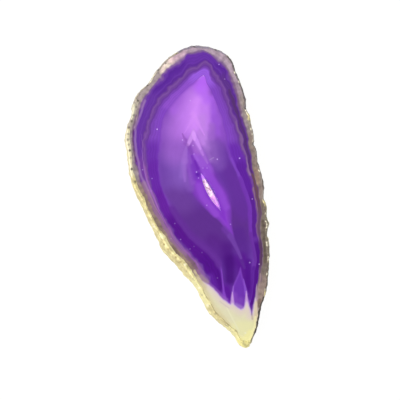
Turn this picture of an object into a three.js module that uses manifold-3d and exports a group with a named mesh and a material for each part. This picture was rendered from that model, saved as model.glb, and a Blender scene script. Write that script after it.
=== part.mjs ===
// A slice of purple-dyed agate with a gold-plated edge, lying on its back face.
// Millimetres, +Z up. The origin is the middle of the bounding box's underside, +Y runs along
// the slice from its pointed, undyed tip to its round end, and the polished front faces +Z.

import * as THREE from "three";
import { mergeVertices } from "three/addons/utils/BufferGeometryUtils.js";
import Module from "manifold-3d";

// Driving dimensions
const THICKNESS = 5; // between the two sawn faces
const PLATING = 0.25; // thickness of the electroformed metal on the edge
const LAP = 0.2; // how far the metal laps over the polished face
const LAP_HEIGHT = 0.2; // how proud of the face it stands there
const LIP_EDGE = 0.08; // thickness of the lap where it ends
const SEAM = 0.05; // clearance between the metal, the crystals and the stone
const PLATING_FOOT = 0.15; // the metal stops this far above the back face
const BELLY = 0.35; // height of the widest section, as a share of the thickness
const UNDERCUT_CURVE = 2; // how the wall turns in below the belly: 1 would be a straight slope
const RIM_CURVE = 1.5; // and above it
const WALL_LEVELS = [0, 0.12, BELLY, 0.6, 0.82, 1]; // heights of the wall's rows, as shares
const LUMP = [-0.08, 0.16]; // how far in the metal's surface is, from its lumps to its pits
const STATIONS = 168; // sections around the edge

// The slice's silhouette, clockwise from the round end: [x, y, rim]. Rim is how much of the
// metal shows from the front there: more where the rough edge slopes.
const SILHOUETTE = [
  [6.6, 40.0, 0.45],
  [9.8, 39.0, 0.45],
  [12.5, 37.5, 0.45],
  [14.3, 35.7, 0.45],
  [15.2, 33.9, 0.45],
  [15.3, 32.0, 0.45],
  [16.3, 27.1, 0.45],
  [16.6, 23.3, 0.45],
  [16.2, 21.4, 0.45],
  [16.9, 20.0, 0.8],
  [16.8, 17.2, 0.5],
  [16.9, 14.0, 0.45],
  [16.4, 11.8, 0.45],
  [16.9, 10.4, 0.45],
  [16.6, 7.7, 0.45],
  [17.0, 3.0, 0.45],
  [16.9, 0.3, 0.45],
  [16.3, -2.2, 0.45],
  [16.8, -4.8, 0.7],
  [16.2, -7.3, 0.7],
  [16.6, -9.2, 1.0],
  [15.5, -11.1, 0.6],
  [15.6, -13.8, 0.9],
  [15.3, -16.3, 0.8],
  [13.9, -21.3, 0.5],
  [12.5, -25.8, 0.45],
  [10.2, -30.1, 0.45],
  [8.3, -35.0, 0.5],
  [6.9, -37.4, 0.8],
  [5.6, -39.3, 1.4],
  [4.2, -39.9, 2.3],
  [3.0, -39.0, 1.9],
  [1.5, -35.6, 1.5],
  [-0.1, -33.4, 1.6],
  [-2.2, -30.9, 1.9],
  [-3.4, -29.0, 2.0],
  [-4.1, -27.1, 1.9],
  [-5.3, -22.7, 1.6],
  [-5.8, -21.2, 1.6],
  [-7.2, -19.3, 1.9],
  [-9.4, -15.2, 2.1],
  [-12.5, -10.1, 1.9],
  [-12.8, -8.4, 1.7],
  [-14.2, -3.0, 1.4],
  [-15.6, 2.7, 1.2],
  [-16.5, 5.9, 0.9],
  [-16.9, 10.3, 0.8],
  [-16.4, 16.2, 0.8],
  [-16.5, 19.2, 0.8],
  [-15.0, 22.9, 0.7],
  [-13.5, 25.3, 0.7],
  [-12.8, 27.8, 0.6],
  [-10.2, 31.2, 0.6],
  [-7.8, 32.5, 0.6],
  [-5.6, 34.9, 0.7],
  [-1.7, 37.9, 0.5],
  [0.9, 39.1, 0.45],
  [3.4, 39.9, 0.45],
];

// The line that the edge slopes towards, from the tip's end to the round end
const SPINE = [
  [4.6, -33.5],
  [2.2, 5],
  [4.6, 26],
];

// The back face's edge: its inset, which is larger on the side that leans out over it
const UNDERCUT = 0.6;
const UNDERCUT_LEAN = 0.35;

// The slit that the bands close on, from its upper to its lower end, and its half width
const SLIT_ENDS = [
  [1.5, 7.2],
  [4.7, -3.3],
];
const SLIT_HALF_WIDTH = 0.9;

// The quartz crystals that fill the slit: they stand on both sides of a thin crust
const CRUST_BOTTOM = 1.5;
const CRUST_TOP = 3.1;
const CRUST_DEPTH = 0.1; // how far the crystals stay below both faces, at least
const CRYSTAL_STEP = 0.8; // along the slit
const CRYSTAL_SPREAD = [0.3, 0.75]; // from the slit's middle line, in half widths
const CRYSTAL_ROOT = 0.2; // how deep a crystal stands in the crust
const CRYSTAL_SIDES = 6;
const CRYSTAL_RADIUS = [0.32, 0.5];
const CRYSTAL_TAPER = 0.94; // radius at the shoulder, in radii at the base
const CRYSTAL_LENGTH = [1.1, 1.75];
const CRYSTAL_POINT = 0.4; // the pointed end, as a share of the length
const CRYSTAL_TILT = 0.42; // radians, at most

const AGATE_COLOUR = 0x5b28a0;
const GOLD_COLOUR = 0xe9d88c;
const QUARTZ_COLOUR = 0xf4dcec;

const wasm = await Module();
wasm.setup();

// A repeatable number from 0 to 1 for each pair of whole numbers
function scatter(i, j) {
  const s = Math.sin(i * 127.1 + j * 311.7 + 11.3) * 43758.5453;
  return s - Math.floor(s);
}

const between = ([low, high], share) => low + (high - low) * share;

// A closed three.js geometry as a solid for joining and cutting
function toSolid(geometry) {
  const bare = geometry.clone();
  bare.deleteAttribute("normal");
  bare.deleteAttribute("uv");
  const merged = mergeVertices(bare, 1e-4);
  return new wasm.Manifold(
    new wasm.Mesh({
      numProp: 3,
      vertProperties: merged.attributes.position.array,
      triVerts: new Uint32Array(merged.index.array),
    }),
  );
}

// A solid as a three.js geometry with flat faces
function toGeometry(solid) {
  const { numProp, vertProperties, triVerts } = solid.getMesh();
  const positions = [];
  for (const v of triVerts) {
    positions.push(...vertProperties.subarray(v * numProp, v * numProp + 3));
  }
  return fromPositions(positions);
}

function fromPositions(positions) {
  const geometry = new THREE.BufferGeometry();
  geometry.setAttribute("position", new THREE.Float32BufferAttribute(positions, 3));
  geometry.computeVertexNormals();
  return geometry;
}

// The point of the spine that is nearest to a point of the silhouette
function nearestOnSpine(point) {
  let best = null;
  for (let i = 1; i < SPINE.length; i++) {
    const line = new THREE.Line3(
      new THREE.Vector3(...SPINE[i - 1], 0),
      new THREE.Vector3(...SPINE[i], 0),
    );
    const found = line.closestPointToPoint(point, true, new THREE.Vector3());
    if (!best || found.distanceTo(point) < best.distanceTo(point)) best = found;
  }
  return best;
}

// Even stations around the silhouette: each has its point, the direction in which the edge is
// inset, its flare, which is how far the wall's top stands inside the silhouette, and the
// undercut, which is the same for its foot
function edgeStations() {
  const curve = new THREE.CatmullRomCurve3(
    SILHOUETTE.map(([x, y, rim]) => new THREE.Vector3(x, y, rim)),
    true,
    "centripetal",
  );
  curve.arcLengthDivisions = 1000;
  return curve.getSpacedPoints(STATIONS).slice(0, STATIONS).map((found) => {
    const point = new THREE.Vector3(found.x, found.y, 0);
    const inward = nearestOnSpine(point).sub(point).normalize();
    return {
      point,
      inward,
      flare: Math.max(found.z - PLATING - LAP, 0),
      undercut: UNDERCUT - UNDERCUT_LEAN * inward.x,
    };
  });
}

// How far the edge's outer surface stands inside the silhouette at a height from 0 to 1
function wallInset({ flare, undercut }, height) {
  if (height < BELLY) return undercut * (1 - height / BELLY) ** UNDERCUT_CURVE;
  return flare * ((height - BELLY) / (1 - BELLY)) ** RIM_CURVE;
}

// The point of a station at an inset from the silhouette and a height in millimetres
function placed(station, inset, z) {
  const at = station.point.clone().addScaledVector(station.inward, inset);
  return [at.x, at.y, z];
}

// Two triangles for each cell between neighbouring rows of points, which rise on the outside;
// closed rows join their last point to their first
function skin(rows, closedAcross) {
  const positions = [];
  const last = rows[0].length - (closedAcross ? 0 : 1);
  rows.forEach((row, i) => {
    const next = rows[(i + 1) % rows.length];
    for (let j = 0; j < last; j++) {
      const k = (j + 1) % row.length;
      positions.push(...row[j], ...row[k], ...next[k]);
      positions.push(...row[j], ...next[k], ...next[j]);
    }
  });
  return positions;
}

// The flat face that closes one end of the stone's wall
function cap(ring, facesUp) {
  const outline = ring.map(([x, y]) => new THREE.Vector2(x, y));
  return THREE.ShapeUtils.triangulateShape(outline, []).flatMap((face) => {
    const points = face.map((i) => new THREE.Vector3(...ring[i]));
    const triangle = new THREE.Triangle(...points);
    const up = triangle.getNormal(new THREE.Vector3()).z > 0;
    const turned = up === facesUp ? points : points.reverse();
    return turned.flatMap((p) => p.toArray());
  });
}

// The stone: two sawn faces and a rounded wall, with the slit cut through it
function agateSlice(stations) {
  const rows = stations.map((station) =>
    WALL_LEVELS.map((level) =>
      placed(station, wallInset(station, level) + PLATING + SEAM, level * THICKNESS),
    ),
  );
  const front = rows.map((row) => row[row.length - 1]);
  const back = rows.map((row) => row[0]);
  const positions = [...skin(rows, false), ...cap(front, true), ...cap(back, false)];
  const slit = toSolid(slitPrism(SLIT_HALF_WIDTH, -1, THICKNESS + 1));
  return toGeometry(toSolid(fromPositions(positions)).subtract(slit));
}

// The metal: a lumpy skin around the wall that laps over the edge of the front face
function goldEdge(stations) {
  const rows = stations.map((station, i) => {
    const lump = (j) => between(LUMP, scatter(i, j));
    const outside = WALL_LEVELS.slice(1, -1).map((level, j) =>
      placed(station, wallInset(station, level) + lump(j), level * THICKNESS),
    );
    const inside = WALL_LEVELS.slice(1, -1).map((level) =>
      placed(station, wallInset(station, level) + PLATING, level * THICKNESS),
    );
    const footHeight = PLATING_FOOT / THICKNESS;
    const foot = wallInset(station, footHeight);
    const lip = station.flare + PLATING + LAP + lump(7);
    return [
      placed(station, foot, PLATING_FOOT),
      ...outside,
      placed(station, station.flare, THICKNESS - LAP_HEIGHT / 2),
      placed(station, station.flare + PLATING, THICKNESS + LAP_HEIGHT + lump(8) / 2),
      placed(station, lip, THICKNESS + SEAM + LIP_EDGE),
      placed(station, lip, THICKNESS + SEAM),
      placed(station, station.flare + PLATING, THICKNESS + SEAM),
      ...inside.reverse(),
      placed(station, foot + PLATING, PLATING_FOOT),
    ];
  });
  return toGeometry(toSolid(fromPositions(skin(rows, true))));
}

// A lens-shaped prism along the slit, with its two sides as arcs
function slitPrism(halfWidth, bottom, top) {
  const upper = new THREE.Vector2(...SLIT_ENDS[0]);
  const lower = new THREE.Vector2(...SLIT_ENDS[1]);
  const middle = upper.clone().add(lower).multiplyScalar(0.5);
  const along = lower.clone().sub(upper).normalize();
  const across = new THREE.Vector2(-along.y, along.x).multiplyScalar(2 * halfWidth);
  const right = middle.clone().add(across);
  const left = middle.clone().sub(across);
  const lens = new THREE.Shape()
    .moveTo(upper.x, upper.y)
    .quadraticCurveTo(right.x, right.y, lower.x, lower.y)
    .quadraticCurveTo(left.x, left.y, upper.x, upper.y);
  const prism = new THREE.ExtrudeGeometry(lens, {
    depth: top - bottom,
    bevelEnabled: false,
    curveSegments: 16,
  });
  return prism.translate(0, 0, bottom);
}

// One six-sided quartz crystal that stands on its base, with a pointed end
function crystal(radius, length) {
  const shoulder = length * (1 - CRYSTAL_POINT);
  const profile = [
    [0, 0],
    [radius, 0],
    [radius * CRYSTAL_TAPER, shoulder],
    [0, length],
  ];
  return new THREE.LatheGeometry(
    profile.map(([x, y]) => new THREE.Vector2(x, y)),
    CRYSTAL_SIDES,
  );
}

// The largest body of a solid, without sealed hollows or loose chips
function outerBody(solid) {
  return solid.decompose().sort((a, b) => b.volume() - a.volume())[0];
}

// One crystal of the crust: it stands left or right of the slit's middle line, faces up or down
// and leans inwards
function placedCrystal(middle, side, facing, pick) {
  const base = middle.clone();
  base.x += side * SLIT_HALF_WIDTH * between(CRYSTAL_SPREAD, pick(1));
  base.z = facing > 0 ? CRUST_TOP - CRYSTAL_ROOT : CRUST_BOTTOM + CRYSTAL_ROOT;
  const tilt = new THREE.Euler(
    (facing * Math.PI) / 2 + between([-CRYSTAL_TILT, CRYSTAL_TILT], pick(2)),
    0,
    side * CRYSTAL_TILT * pick(3),
  );
  const turn = new THREE.Matrix4()
    .makeRotationFromEuler(tilt)
    .multiply(new THREE.Matrix4().makeRotationY(Math.PI * pick(4)))
    .setPosition(base);
  const one = crystal(between(CRYSTAL_RADIUS, pick(5)), between(CRYSTAL_LENGTH, pick(6)));
  return toSolid(one.applyMatrix4(turn));
}

// The crystals that line the slit, joined to one crust
function quartzDruse() {
  const upper = new THREE.Vector3(...SLIT_ENDS[0], 0);
  const lower = new THREE.Vector3(...SLIT_ENDS[1], 0);
  const count = Math.round(upper.distanceTo(lower) / CRYSTAL_STEP);
  const fit = SLIT_HALF_WIDTH - SEAM;
  let crust = toSolid(slitPrism(fit, CRUST_BOTTOM, CRUST_TOP));
  for (let i = 1; i < count; i++) {
    for (const side of [-1, 1]) {
      for (const facing of [-1, 1]) {
        const pick = (j) => scatter(i * 4 + side, j + facing * 10);
        const share = (i + (side * facing * pick(0)) / 2) / count;
        const middle = upper.clone().lerp(lower, share);
        crust = crust.add(placedCrystal(middle, side, facing, pick));
      }
    }
  }
  const room = toSolid(slitPrism(fit, CRUST_DEPTH, THICKNESS - CRUST_DEPTH));
  return toGeometry(outerBody(crust.intersect(room)));
}

function piece(name, geometry, look) {
  const mesh = new THREE.Mesh(geometry, new THREE.MeshStandardMaterial(look));
  mesh.name = name;
  return mesh;
}

const stations = edgeStations();
const slice = new THREE.Group();
slice.add(
  piece("agate_slice", agateSlice(stations), {
    color: AGATE_COLOUR,
    roughness: 0.12,
    metalness: 0,
  }),
  piece("gold_edge", goldEdge(stations), {
    color: GOLD_COLOUR,
    roughness: 0.3,
    metalness: 1,
  }),
  piece("quartz_druse", quartzDruse(), {
    color: QUARTZ_COLOUR,
    roughness: 0.2,
    metalness: 0,
  }),
);

// The origin goes to the middle of the bounding box, which the lumps move a little
const middle = new THREE.Box3().setFromObject(slice).getCenter(new THREE.Vector3());
slice.position.set(-middle.x, -middle.y, 0);

export default slice;
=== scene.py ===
"""The looks of a slice of dyed agate: banded stone, plated edge and crystal-lined slit.

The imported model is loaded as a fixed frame, and each of its three nodes is replaced by a finer
piece in the same place. Meshes are worked out in millimetres and written in metres.
"""

from __future__ import annotations

import logging
import math
import random
from dataclasses import dataclass
from enum import Enum

import bmesh
import bpy
import numpy as np
from mathutils import Euler, Matrix, Vector, noise


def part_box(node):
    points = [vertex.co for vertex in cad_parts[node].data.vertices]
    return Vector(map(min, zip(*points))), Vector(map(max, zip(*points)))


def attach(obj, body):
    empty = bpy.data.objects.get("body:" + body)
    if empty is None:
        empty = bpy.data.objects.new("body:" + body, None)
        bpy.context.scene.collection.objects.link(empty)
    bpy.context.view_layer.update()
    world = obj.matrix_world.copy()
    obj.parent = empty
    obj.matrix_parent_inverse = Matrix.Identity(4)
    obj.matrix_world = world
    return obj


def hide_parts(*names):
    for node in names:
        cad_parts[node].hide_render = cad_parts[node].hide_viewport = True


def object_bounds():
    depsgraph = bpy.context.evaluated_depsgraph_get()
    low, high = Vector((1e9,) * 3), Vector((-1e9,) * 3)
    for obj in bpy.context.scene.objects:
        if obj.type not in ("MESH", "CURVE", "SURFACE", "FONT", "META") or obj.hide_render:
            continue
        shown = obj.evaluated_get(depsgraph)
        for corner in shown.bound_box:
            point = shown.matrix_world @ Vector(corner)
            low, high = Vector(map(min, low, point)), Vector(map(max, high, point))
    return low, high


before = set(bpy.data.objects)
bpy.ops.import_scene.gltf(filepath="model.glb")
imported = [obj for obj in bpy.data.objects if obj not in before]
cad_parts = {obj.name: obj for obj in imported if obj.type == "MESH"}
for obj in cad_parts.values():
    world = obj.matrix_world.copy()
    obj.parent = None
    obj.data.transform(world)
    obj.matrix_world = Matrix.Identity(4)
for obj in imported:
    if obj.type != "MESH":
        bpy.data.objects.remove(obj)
CAD_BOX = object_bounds()

# A millimetre in metres, and how near points of an outline are that become one, in millimetres
MM = 0.001
WELD = 0.001

BODY = "root"

logging.basicConfig(level=logging.INFO, format="%(message)s")
log = logging.getLogger("agate")

# A span is a range, or the two values between which something goes from nothing to full
Point = tuple[float, float]
Span = tuple[float, float]
Mark = tuple[float, float, float]
Colour = tuple[float, float, float, float]
Value = float | tuple | bpy.types.NodeSocket


def paint(code: str) -> Colour:
    """A colour as the shader takes it.

    Args:
        code: the colour as six hexadecimal digits.

    Returns:
        Linear red, green and blue, and an alpha of 1.
    """
    shares = [int(code[i : i + 2], 16) / 255 for i in (0, 2, 4)]
    linear = [s / 12.92 if s <= 0.04045 else ((s + 0.055) / 1.055) ** 2.4 for s in shares]
    return (*linear, 1.0)


@dataclass(frozen=True)
class PhotoFrame:
    """How the photograph's frame of 400 by 400 pixels lies over the part."""

    lean: float = math.radians(11)
    pixels_per_mm: float = 3.855
    origin: Point = (200.7, 201.1)
    size: int = 400

    @property
    def right(self) -> Vector:
        """The picture's right, in the part's frame."""
        return Vector((math.cos(self.lean), -math.sin(self.lean), 0))

    @property
    def up(self) -> Vector:
        """The picture's up, in the part's frame."""
        return Vector((math.sin(self.lean), math.cos(self.lean), 0))

    def point(self, across: float, down: float) -> Vector:
        """The point of the part under a pixel, in millimetres."""
        right = (across - self.origin[0]) / self.pixels_per_mm
        up = (self.origin[1] - down) / self.pixels_per_mm
        return self.right * right + self.up * up

    def path(self, pixels: list[Point]) -> np.ndarray:
        """The points of the part under a list of pixels, in millimetres, one a row."""
        return np.array([self.point(*pixel)[:2] for pixel in pixels])


PHOTO = PhotoFrame()


def kept_between(value: float, low: float, high: float) -> float:
    """A number kept between two others."""
    return min(max(value, low), high)


def even_ring(points: np.ndarray, foot: int, half: int) -> np.ndarray:
    """A smooth closed curve through some points, cut into even steps.

    Args:
        points: the points in order, one a row. The first is the ring's apex.
        foot: which of them is the ring's foot.
        half: how many steps each of the two sides between apex and foot gets.

    Returns:
        2 * half points, one a row, from the apex round by the foot.
    """
    samples = 16
    after = np.roll(points, -1, axis=0) - points
    step = np.sqrt(np.linalg.norm(after, axis=1))[:, None]
    slope_after = after / step
    slope_before = np.roll(slope_after, 1, axis=0)
    step_before = np.roll(step, 1, axis=0)
    slope = (slope_before * step + slope_after * step_before) / (step + step_before)
    s = np.linspace(0, 1, samples, endpoint=False)[None, :, None]
    start, end = points[:, None], np.roll(points, -1, axis=0)[:, None]
    leave = (slope * step)[:, None]
    arrive = (np.roll(slope, -1, axis=0) * step)[:, None]
    curve = (2 * s**3 - 3 * s**2 + 1) * start + (3 * s**2 - 2 * s**3) * end
    curve = curve + (s**3 - 2 * s**2 + s) * leave + (s**3 - s**2) * arrive
    curve = curve.reshape(-1, 2)
    sides = curve[: foot * samples + 1], np.concatenate([curve[foot * samples :], curve[:1]])
    return np.concatenate([even_steps(side, half)[:-1] for side in sides])


def even_steps(points: np.ndarray, count: int) -> np.ndarray:
    """The ends of a number of even steps along a line through points, one a row."""
    lengths = np.linalg.norm(np.diff(points, axis=0), axis=1)
    along = np.concatenate([[0], np.cumsum(lengths)])
    even = np.linspace(0, along[-1], count + 1)
    return np.stack([np.interp(even, along, points[:, i]) for i in (0, 1)], axis=1)


def outward(ring: np.ndarray) -> np.ndarray:
    """The unit direction out of a counterclockwise ring at each of its points."""
    along = np.roll(ring, -1, axis=0) - np.roll(ring, 1, axis=0)
    out = np.stack([along[:, 1], -along[:, 0]], axis=1)
    return out / np.linalg.norm(out, axis=1)[:, None]


def level_outlines(node: str, height: float) -> list[np.ndarray]:
    """The closed outlines that a level cut makes in a CAD node.

    Args:
        node: the node's name.
        height: the height of the cut, in millimetres.

    Returns:
        The points of each outline in order, in millimetres. The longest outline comes first.
    """
    bm = bmesh.new()
    bm.from_mesh(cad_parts[node].data)
    bmesh.ops.remove_doubles(bm, verts=bm.verts, dist=WELD * MM)
    cut = bmesh.ops.bisect_plane(
        bm,
        geom=[*bm.verts, *bm.edges, *bm.faces],
        plane_co=(0, 0, height * MM),
        plane_no=(0, 0, 1),
    )
    edges = {item for item in cut["geom_cut"] if isinstance(item, bmesh.types.BMEdge)}
    outlines = []
    while edges:
        start, here = edges.pop().verts
        walk = [start]
        while here is not start:
            walk.append(here)
            edge = next(e for e in here.link_edges if e in edges)
            edges.discard(edge)
            here = edge.other_vert(here)
        outlines.append(np.array([vert.co[:2] for vert in walk]) / MM)
    bm.free()
    return sorted(outlines, key=lambda points: np.ptp(points), reverse=True)


def outline_ring(points: np.ndarray, half: int) -> np.ndarray:
    """A cut's outline as a counterclockwise ring, from its top in the picture to its foot.

    Args:
        points: the outline's points in order, one a row. Some may lie on top of the next one.
        half: how many steps each of its two sides gets.

    Returns:
        2 * half points, one a row.
    """
    gaps = np.linalg.norm(np.roll(points, -1, axis=0) - points, axis=1)
    points = points[gaps > WELD]
    following = np.roll(points, -1, axis=0)
    area = (points[:, 0] * following[:, 1] - following[:, 0] * points[:, 1]).sum()
    turned = points if area > 0 else points[::-1]
    rise = turned @ np.array(PHOTO.up[:2])
    rolled = np.roll(turned, -int(rise.argmax()), axis=0)
    foot = int((rolled @ np.array(PHOTO.up[:2])).argmin())
    return even_ring(rolled, foot, half)


@dataclass(frozen=True)
class Band:
    """One growth line of the agate as a closed ring, in pixels of the photograph's frame."""

    apex: Point
    left: list[Point]
    right: list[Point]
    foot: Point

    def ring(self, half: int) -> np.ndarray:
        """The line from its apex down its left side and up its right, in millimetres."""
        points = PHOTO.path([self.apex, *self.left, self.foot, *reversed(self.right)])
        return even_ring(points, len(self.left) + 1, half)


@dataclass(frozen=True)
class Patch:
    """An area of the face, given by its corners in pixels of the photograph's frame."""

    corners: list[Point]

    def depth(self, points: np.ndarray) -> np.ndarray:
        """How deep points lie inside the area.

        Args:
            points: points of the face in millimetres, one a row.

        Returns:
            Each point's distance from the area's edge in millimetres, negative outside it.
        """
        start = PHOTO.path(self.corners)
        edge = np.roll(start, -1, axis=0) - start
        apart = points[:, None] - start
        share = np.clip((apart * edge).sum(-1) / (edge**2).sum(-1), 0, 1)
        gap = np.linalg.norm(apart - share[..., None] * edge, axis=-1).min(axis=1)
        rise = apart[..., 1] / edge[:, 1]
        inside = ((rise >= 0) & (rise < 1) & (apart[..., 0] < rise * edge[:, 0])).sum(1) % 2
        return np.where(inside, gap, -gap)


# The light band around the slit, whose long foot runs out in a pale streak
CORE = Band(
    apex=(193.3, 129.2),
    left=[
        (190, 135), (188.1, 138.8), (186.6, 143), (185, 151), (184, 163), (186, 176),
        (189.5, 190), (195, 199.4), (211, 216), (218, 221.6), (225.8, 230.7), (231, 237),
    ],
    right=[
        (196.2, 135), (198.4, 140), (200.9, 145), (203.5, 150), (206.3, 155), (209, 160),
        (213, 167.3), (218, 178.4), (227.5, 191.8), (232.8, 209), (233, 226), (234.8, 235),
    ],
    foot=(235.5, 241),
)

# The edge of the pale heart of the stone
HEART = Band(
    apex=(203.8, 76),
    left=[
        (191.4, 85.2), (183.8, 91.8), (176.3, 99.4), (169.6, 107.6), (165, 115), (162.5, 121.5),
        (160.6, 137), (158.5, 165.5), (160.3, 180.8), (168.2, 203.3), (179.5, 221.8),
        (186.5, 231.5), (191.5, 237), (198, 242.5), (209, 252), (217.5, 261), (221, 268.5),
        (222.5, 277), (223.2, 287), (225.4, 297), (230.6, 303.5), (238, 307.5),
    ],
    right=[
        (207.3, 85), (211.9, 92.7), (218.8, 110), (221.8, 117.7), (225.2, 134), (229, 151.5),
        (236.2, 170), (241.3, 180.4), (245.3, 190), (249.6, 203.4), (250.6, 214), (250.3, 226),
        (251.6, 238), (254.2, 250), (256, 260), (253.8, 270), (252.8, 284), (251, 298),
    ],
    foot=(246.5, 308),
)

# The dull mauve line
MAUVE = Band(
    apex=(204.4, 63.5),
    left=[
        (194.4, 68), (185.3, 74.5), (177.6, 82.5), (167.7, 91), (160.5, 98), (156.6, 103),
        (152.6, 112.9), (145, 132.9), (143.7, 141.9), (144.8, 164), (146.8, 176),
        (150.4, 188.5), (155, 200.2), (158.2, 210.4), (168.5, 228), (173.4, 237.7),
        (179.3, 245.4), (193, 259.2), (199.3, 268), (210.5, 286.5), (217, 295),
        (225, 303.5), (234, 310.5),
    ],
    right=[
        (211, 66.3), (214, 73.8), (218.6, 79.4), (228.3, 101.3), (230.5, 110), (232.6, 115.1),
        (236.1, 120.2), (237.7, 126.8), (242.8, 138.1), (243.3, 145.7), (245.8, 153.4),
        (248.4, 168.7), (252.4, 180), (253.5, 188.4), (257.3, 208), (258, 219),
        (257.3, 228.5), (259.8, 243), (260.4, 256.8), (258, 281), (253.5, 305),
    ],
    foot=(247, 318),
)

# The dye's outer limit, where the taupe rind begins
RIND = Band(
    apex=(204.5, 50.5),
    left=[
        (199.6, 50.3), (186.3, 54.5), (175.1, 63.1), (165.9, 69.7), (155.7, 83.5), (148, 93),
        (143.2, 100.4), (140.1, 110.6), (133.8, 130.7), (133.2, 139.6), (134.3, 150.8),
        (139, 174), (141.8, 184), (148.6, 198.7), (153.5, 210), (164.5, 230), (177, 248),
        (191.5, 263), (197.5, 272.5), (210, 294), (219, 305), (237, 322),
    ],
    right=[
        (210.4, 53.4), (219.2, 58.6), (226.4, 65.4), (230.6, 75), (234.8, 84), (239, 101.3),
        (240, 110), (242.8, 119.4), (247.6, 136.5), (248.4, 145.7), (250.9, 153.4),
        (252.6, 168.7), (258, 190), (261, 212), (260.3, 229), (262.3, 248), (262.5, 257),
        (259, 285), (254.5, 309), (251, 320),
    ],
    foot=(246, 330),
)

# The tip that the dye didn't reach: the flames of the dye's front, then round outside the stone
UNDYED = Patch([
    (186, 268), (191, 272), (195.5, 276), (200.5, 280), (205, 282.5), (209.5, 285.2),
    (213, 288.2), (216, 291.3), (219, 294.8), (221.6, 297.8), (223.6, 299.6), (226, 301),
    (228.3, 303.2), (230.5, 304.3), (232.4, 302.3), (234.4, 304.8), (237.5, 307.3),
    (241, 309.5), (243.7, 308.2), (245.2, 304.5), (246.3, 300.5), (247.8, 303),
    (249.4, 306.5), (250.6, 310), (251.8, 315), (252.9, 309), (254, 303), (255.4, 297.5),
    (257, 302), (258, 311), (300, 311.1), (300.1, 400), (150, 400.1), (150.1, 268.1),
])

# The flame with pale edges at the foot of the heart
SPEARHEAD = Patch([
    (240.5, 267.5), (238.5, 274), (236, 279.5), (233.5, 285.5), (232.2, 291), (231.8, 298),
    (232.3, 304), (236.1, 307), (243, 310), (248, 304.2), (247.2, 294), (245.7, 288), (243.9, 282),
    (242.1, 275.2),
])

# Where each growth line stands on the scale of the bands, which runs from the slit to the edge
SLIT_BAND, CORE_BAND, HEART_BAND, MAUVE_BAND, RIND_BAND, EDGE_BAND = range(6)

# Ends beyond both sides of the scale, for veils that run on past it
BEFORE_SLIT, PAST_EDGE = -1, 9
ANY_BAND = (BEFORE_SLIT, PAST_EDGE)

# The stone's colours from the slit to the edge: the place on the scale of bands, the colour
BAND_COLOURS = [
    (0.00, "8036c2"), (0.12, "8236c4"), (0.30, "8636cc"), (0.50, "8c40cc"), (0.80, "7c3ab8"),
    (1.00, "7038ac"), (1.20, "6836a2"), (1.85, "6a36a4"), (1.98, "7c40b8"), (2.08, "8244c2"),
    (2.35, "8246c0"), (2.55, "7e44ba"), (2.70, "7640ac"), (2.80, "6a389c"), (2.90, "724499"),
    (3.00, "7c4ca2"), (3.08, "744699"), (3.18, "5e2c96"), (3.26, "602b9a"), (3.36, "6632a4"),
    (3.44, "622ca0"), (3.54, "59249a"), (3.64, "5c279a"), (3.76, "6a38a4"), (3.87, "704298"),
    (3.96, "6e4c7e"), (4.06, "866c8c"), (4.22, "9e8a94"), (4.60, "a29490"), (5.00, "988a80"),
]


@dataclass(frozen=True)
class Veil:
    """A soft tint in the stone along a line of the photograph's frame.

    Attributes:
        colour: the tint, as six hexadecimal digits.
        path: the pixels that it runs along. One pixel makes a round cloud.
        radius: how far from the line it stays even, in pixels.
        blur: how far it then takes to fade out, in pixels.
        strength: how much it covers at most, from 0 to 1.
        bands: the lowest and the highest band that it tints.
        edge: how softly it ends there, in bands.
        taper: how wide it is where the path starts, as a share of its width at the end.
    """

    colour: str
    path: list[Point]
    radius: float
    blur: float
    strength: float = 1.0
    bands: Span = ANY_BAND
    edge: float = 0.1
    taper: float = 1.0


# The bands that most veils keep to
IN_CORE = (BEFORE_SLIT, CORE_BAND)
IN_GLOW = (CORE_BAND, HEART_BAND + 0.02)
IN_HEART = (CORE_BAND - 0.1, HEART_BAND)
ROUND_HEART = (2.05, 2.78)
MAUVE_LINE = (2.9, 3.12)
OUTER_PURPLE = (3.12, 3.95)
IN_RIND = (4.05, PAST_EDGE)

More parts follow.
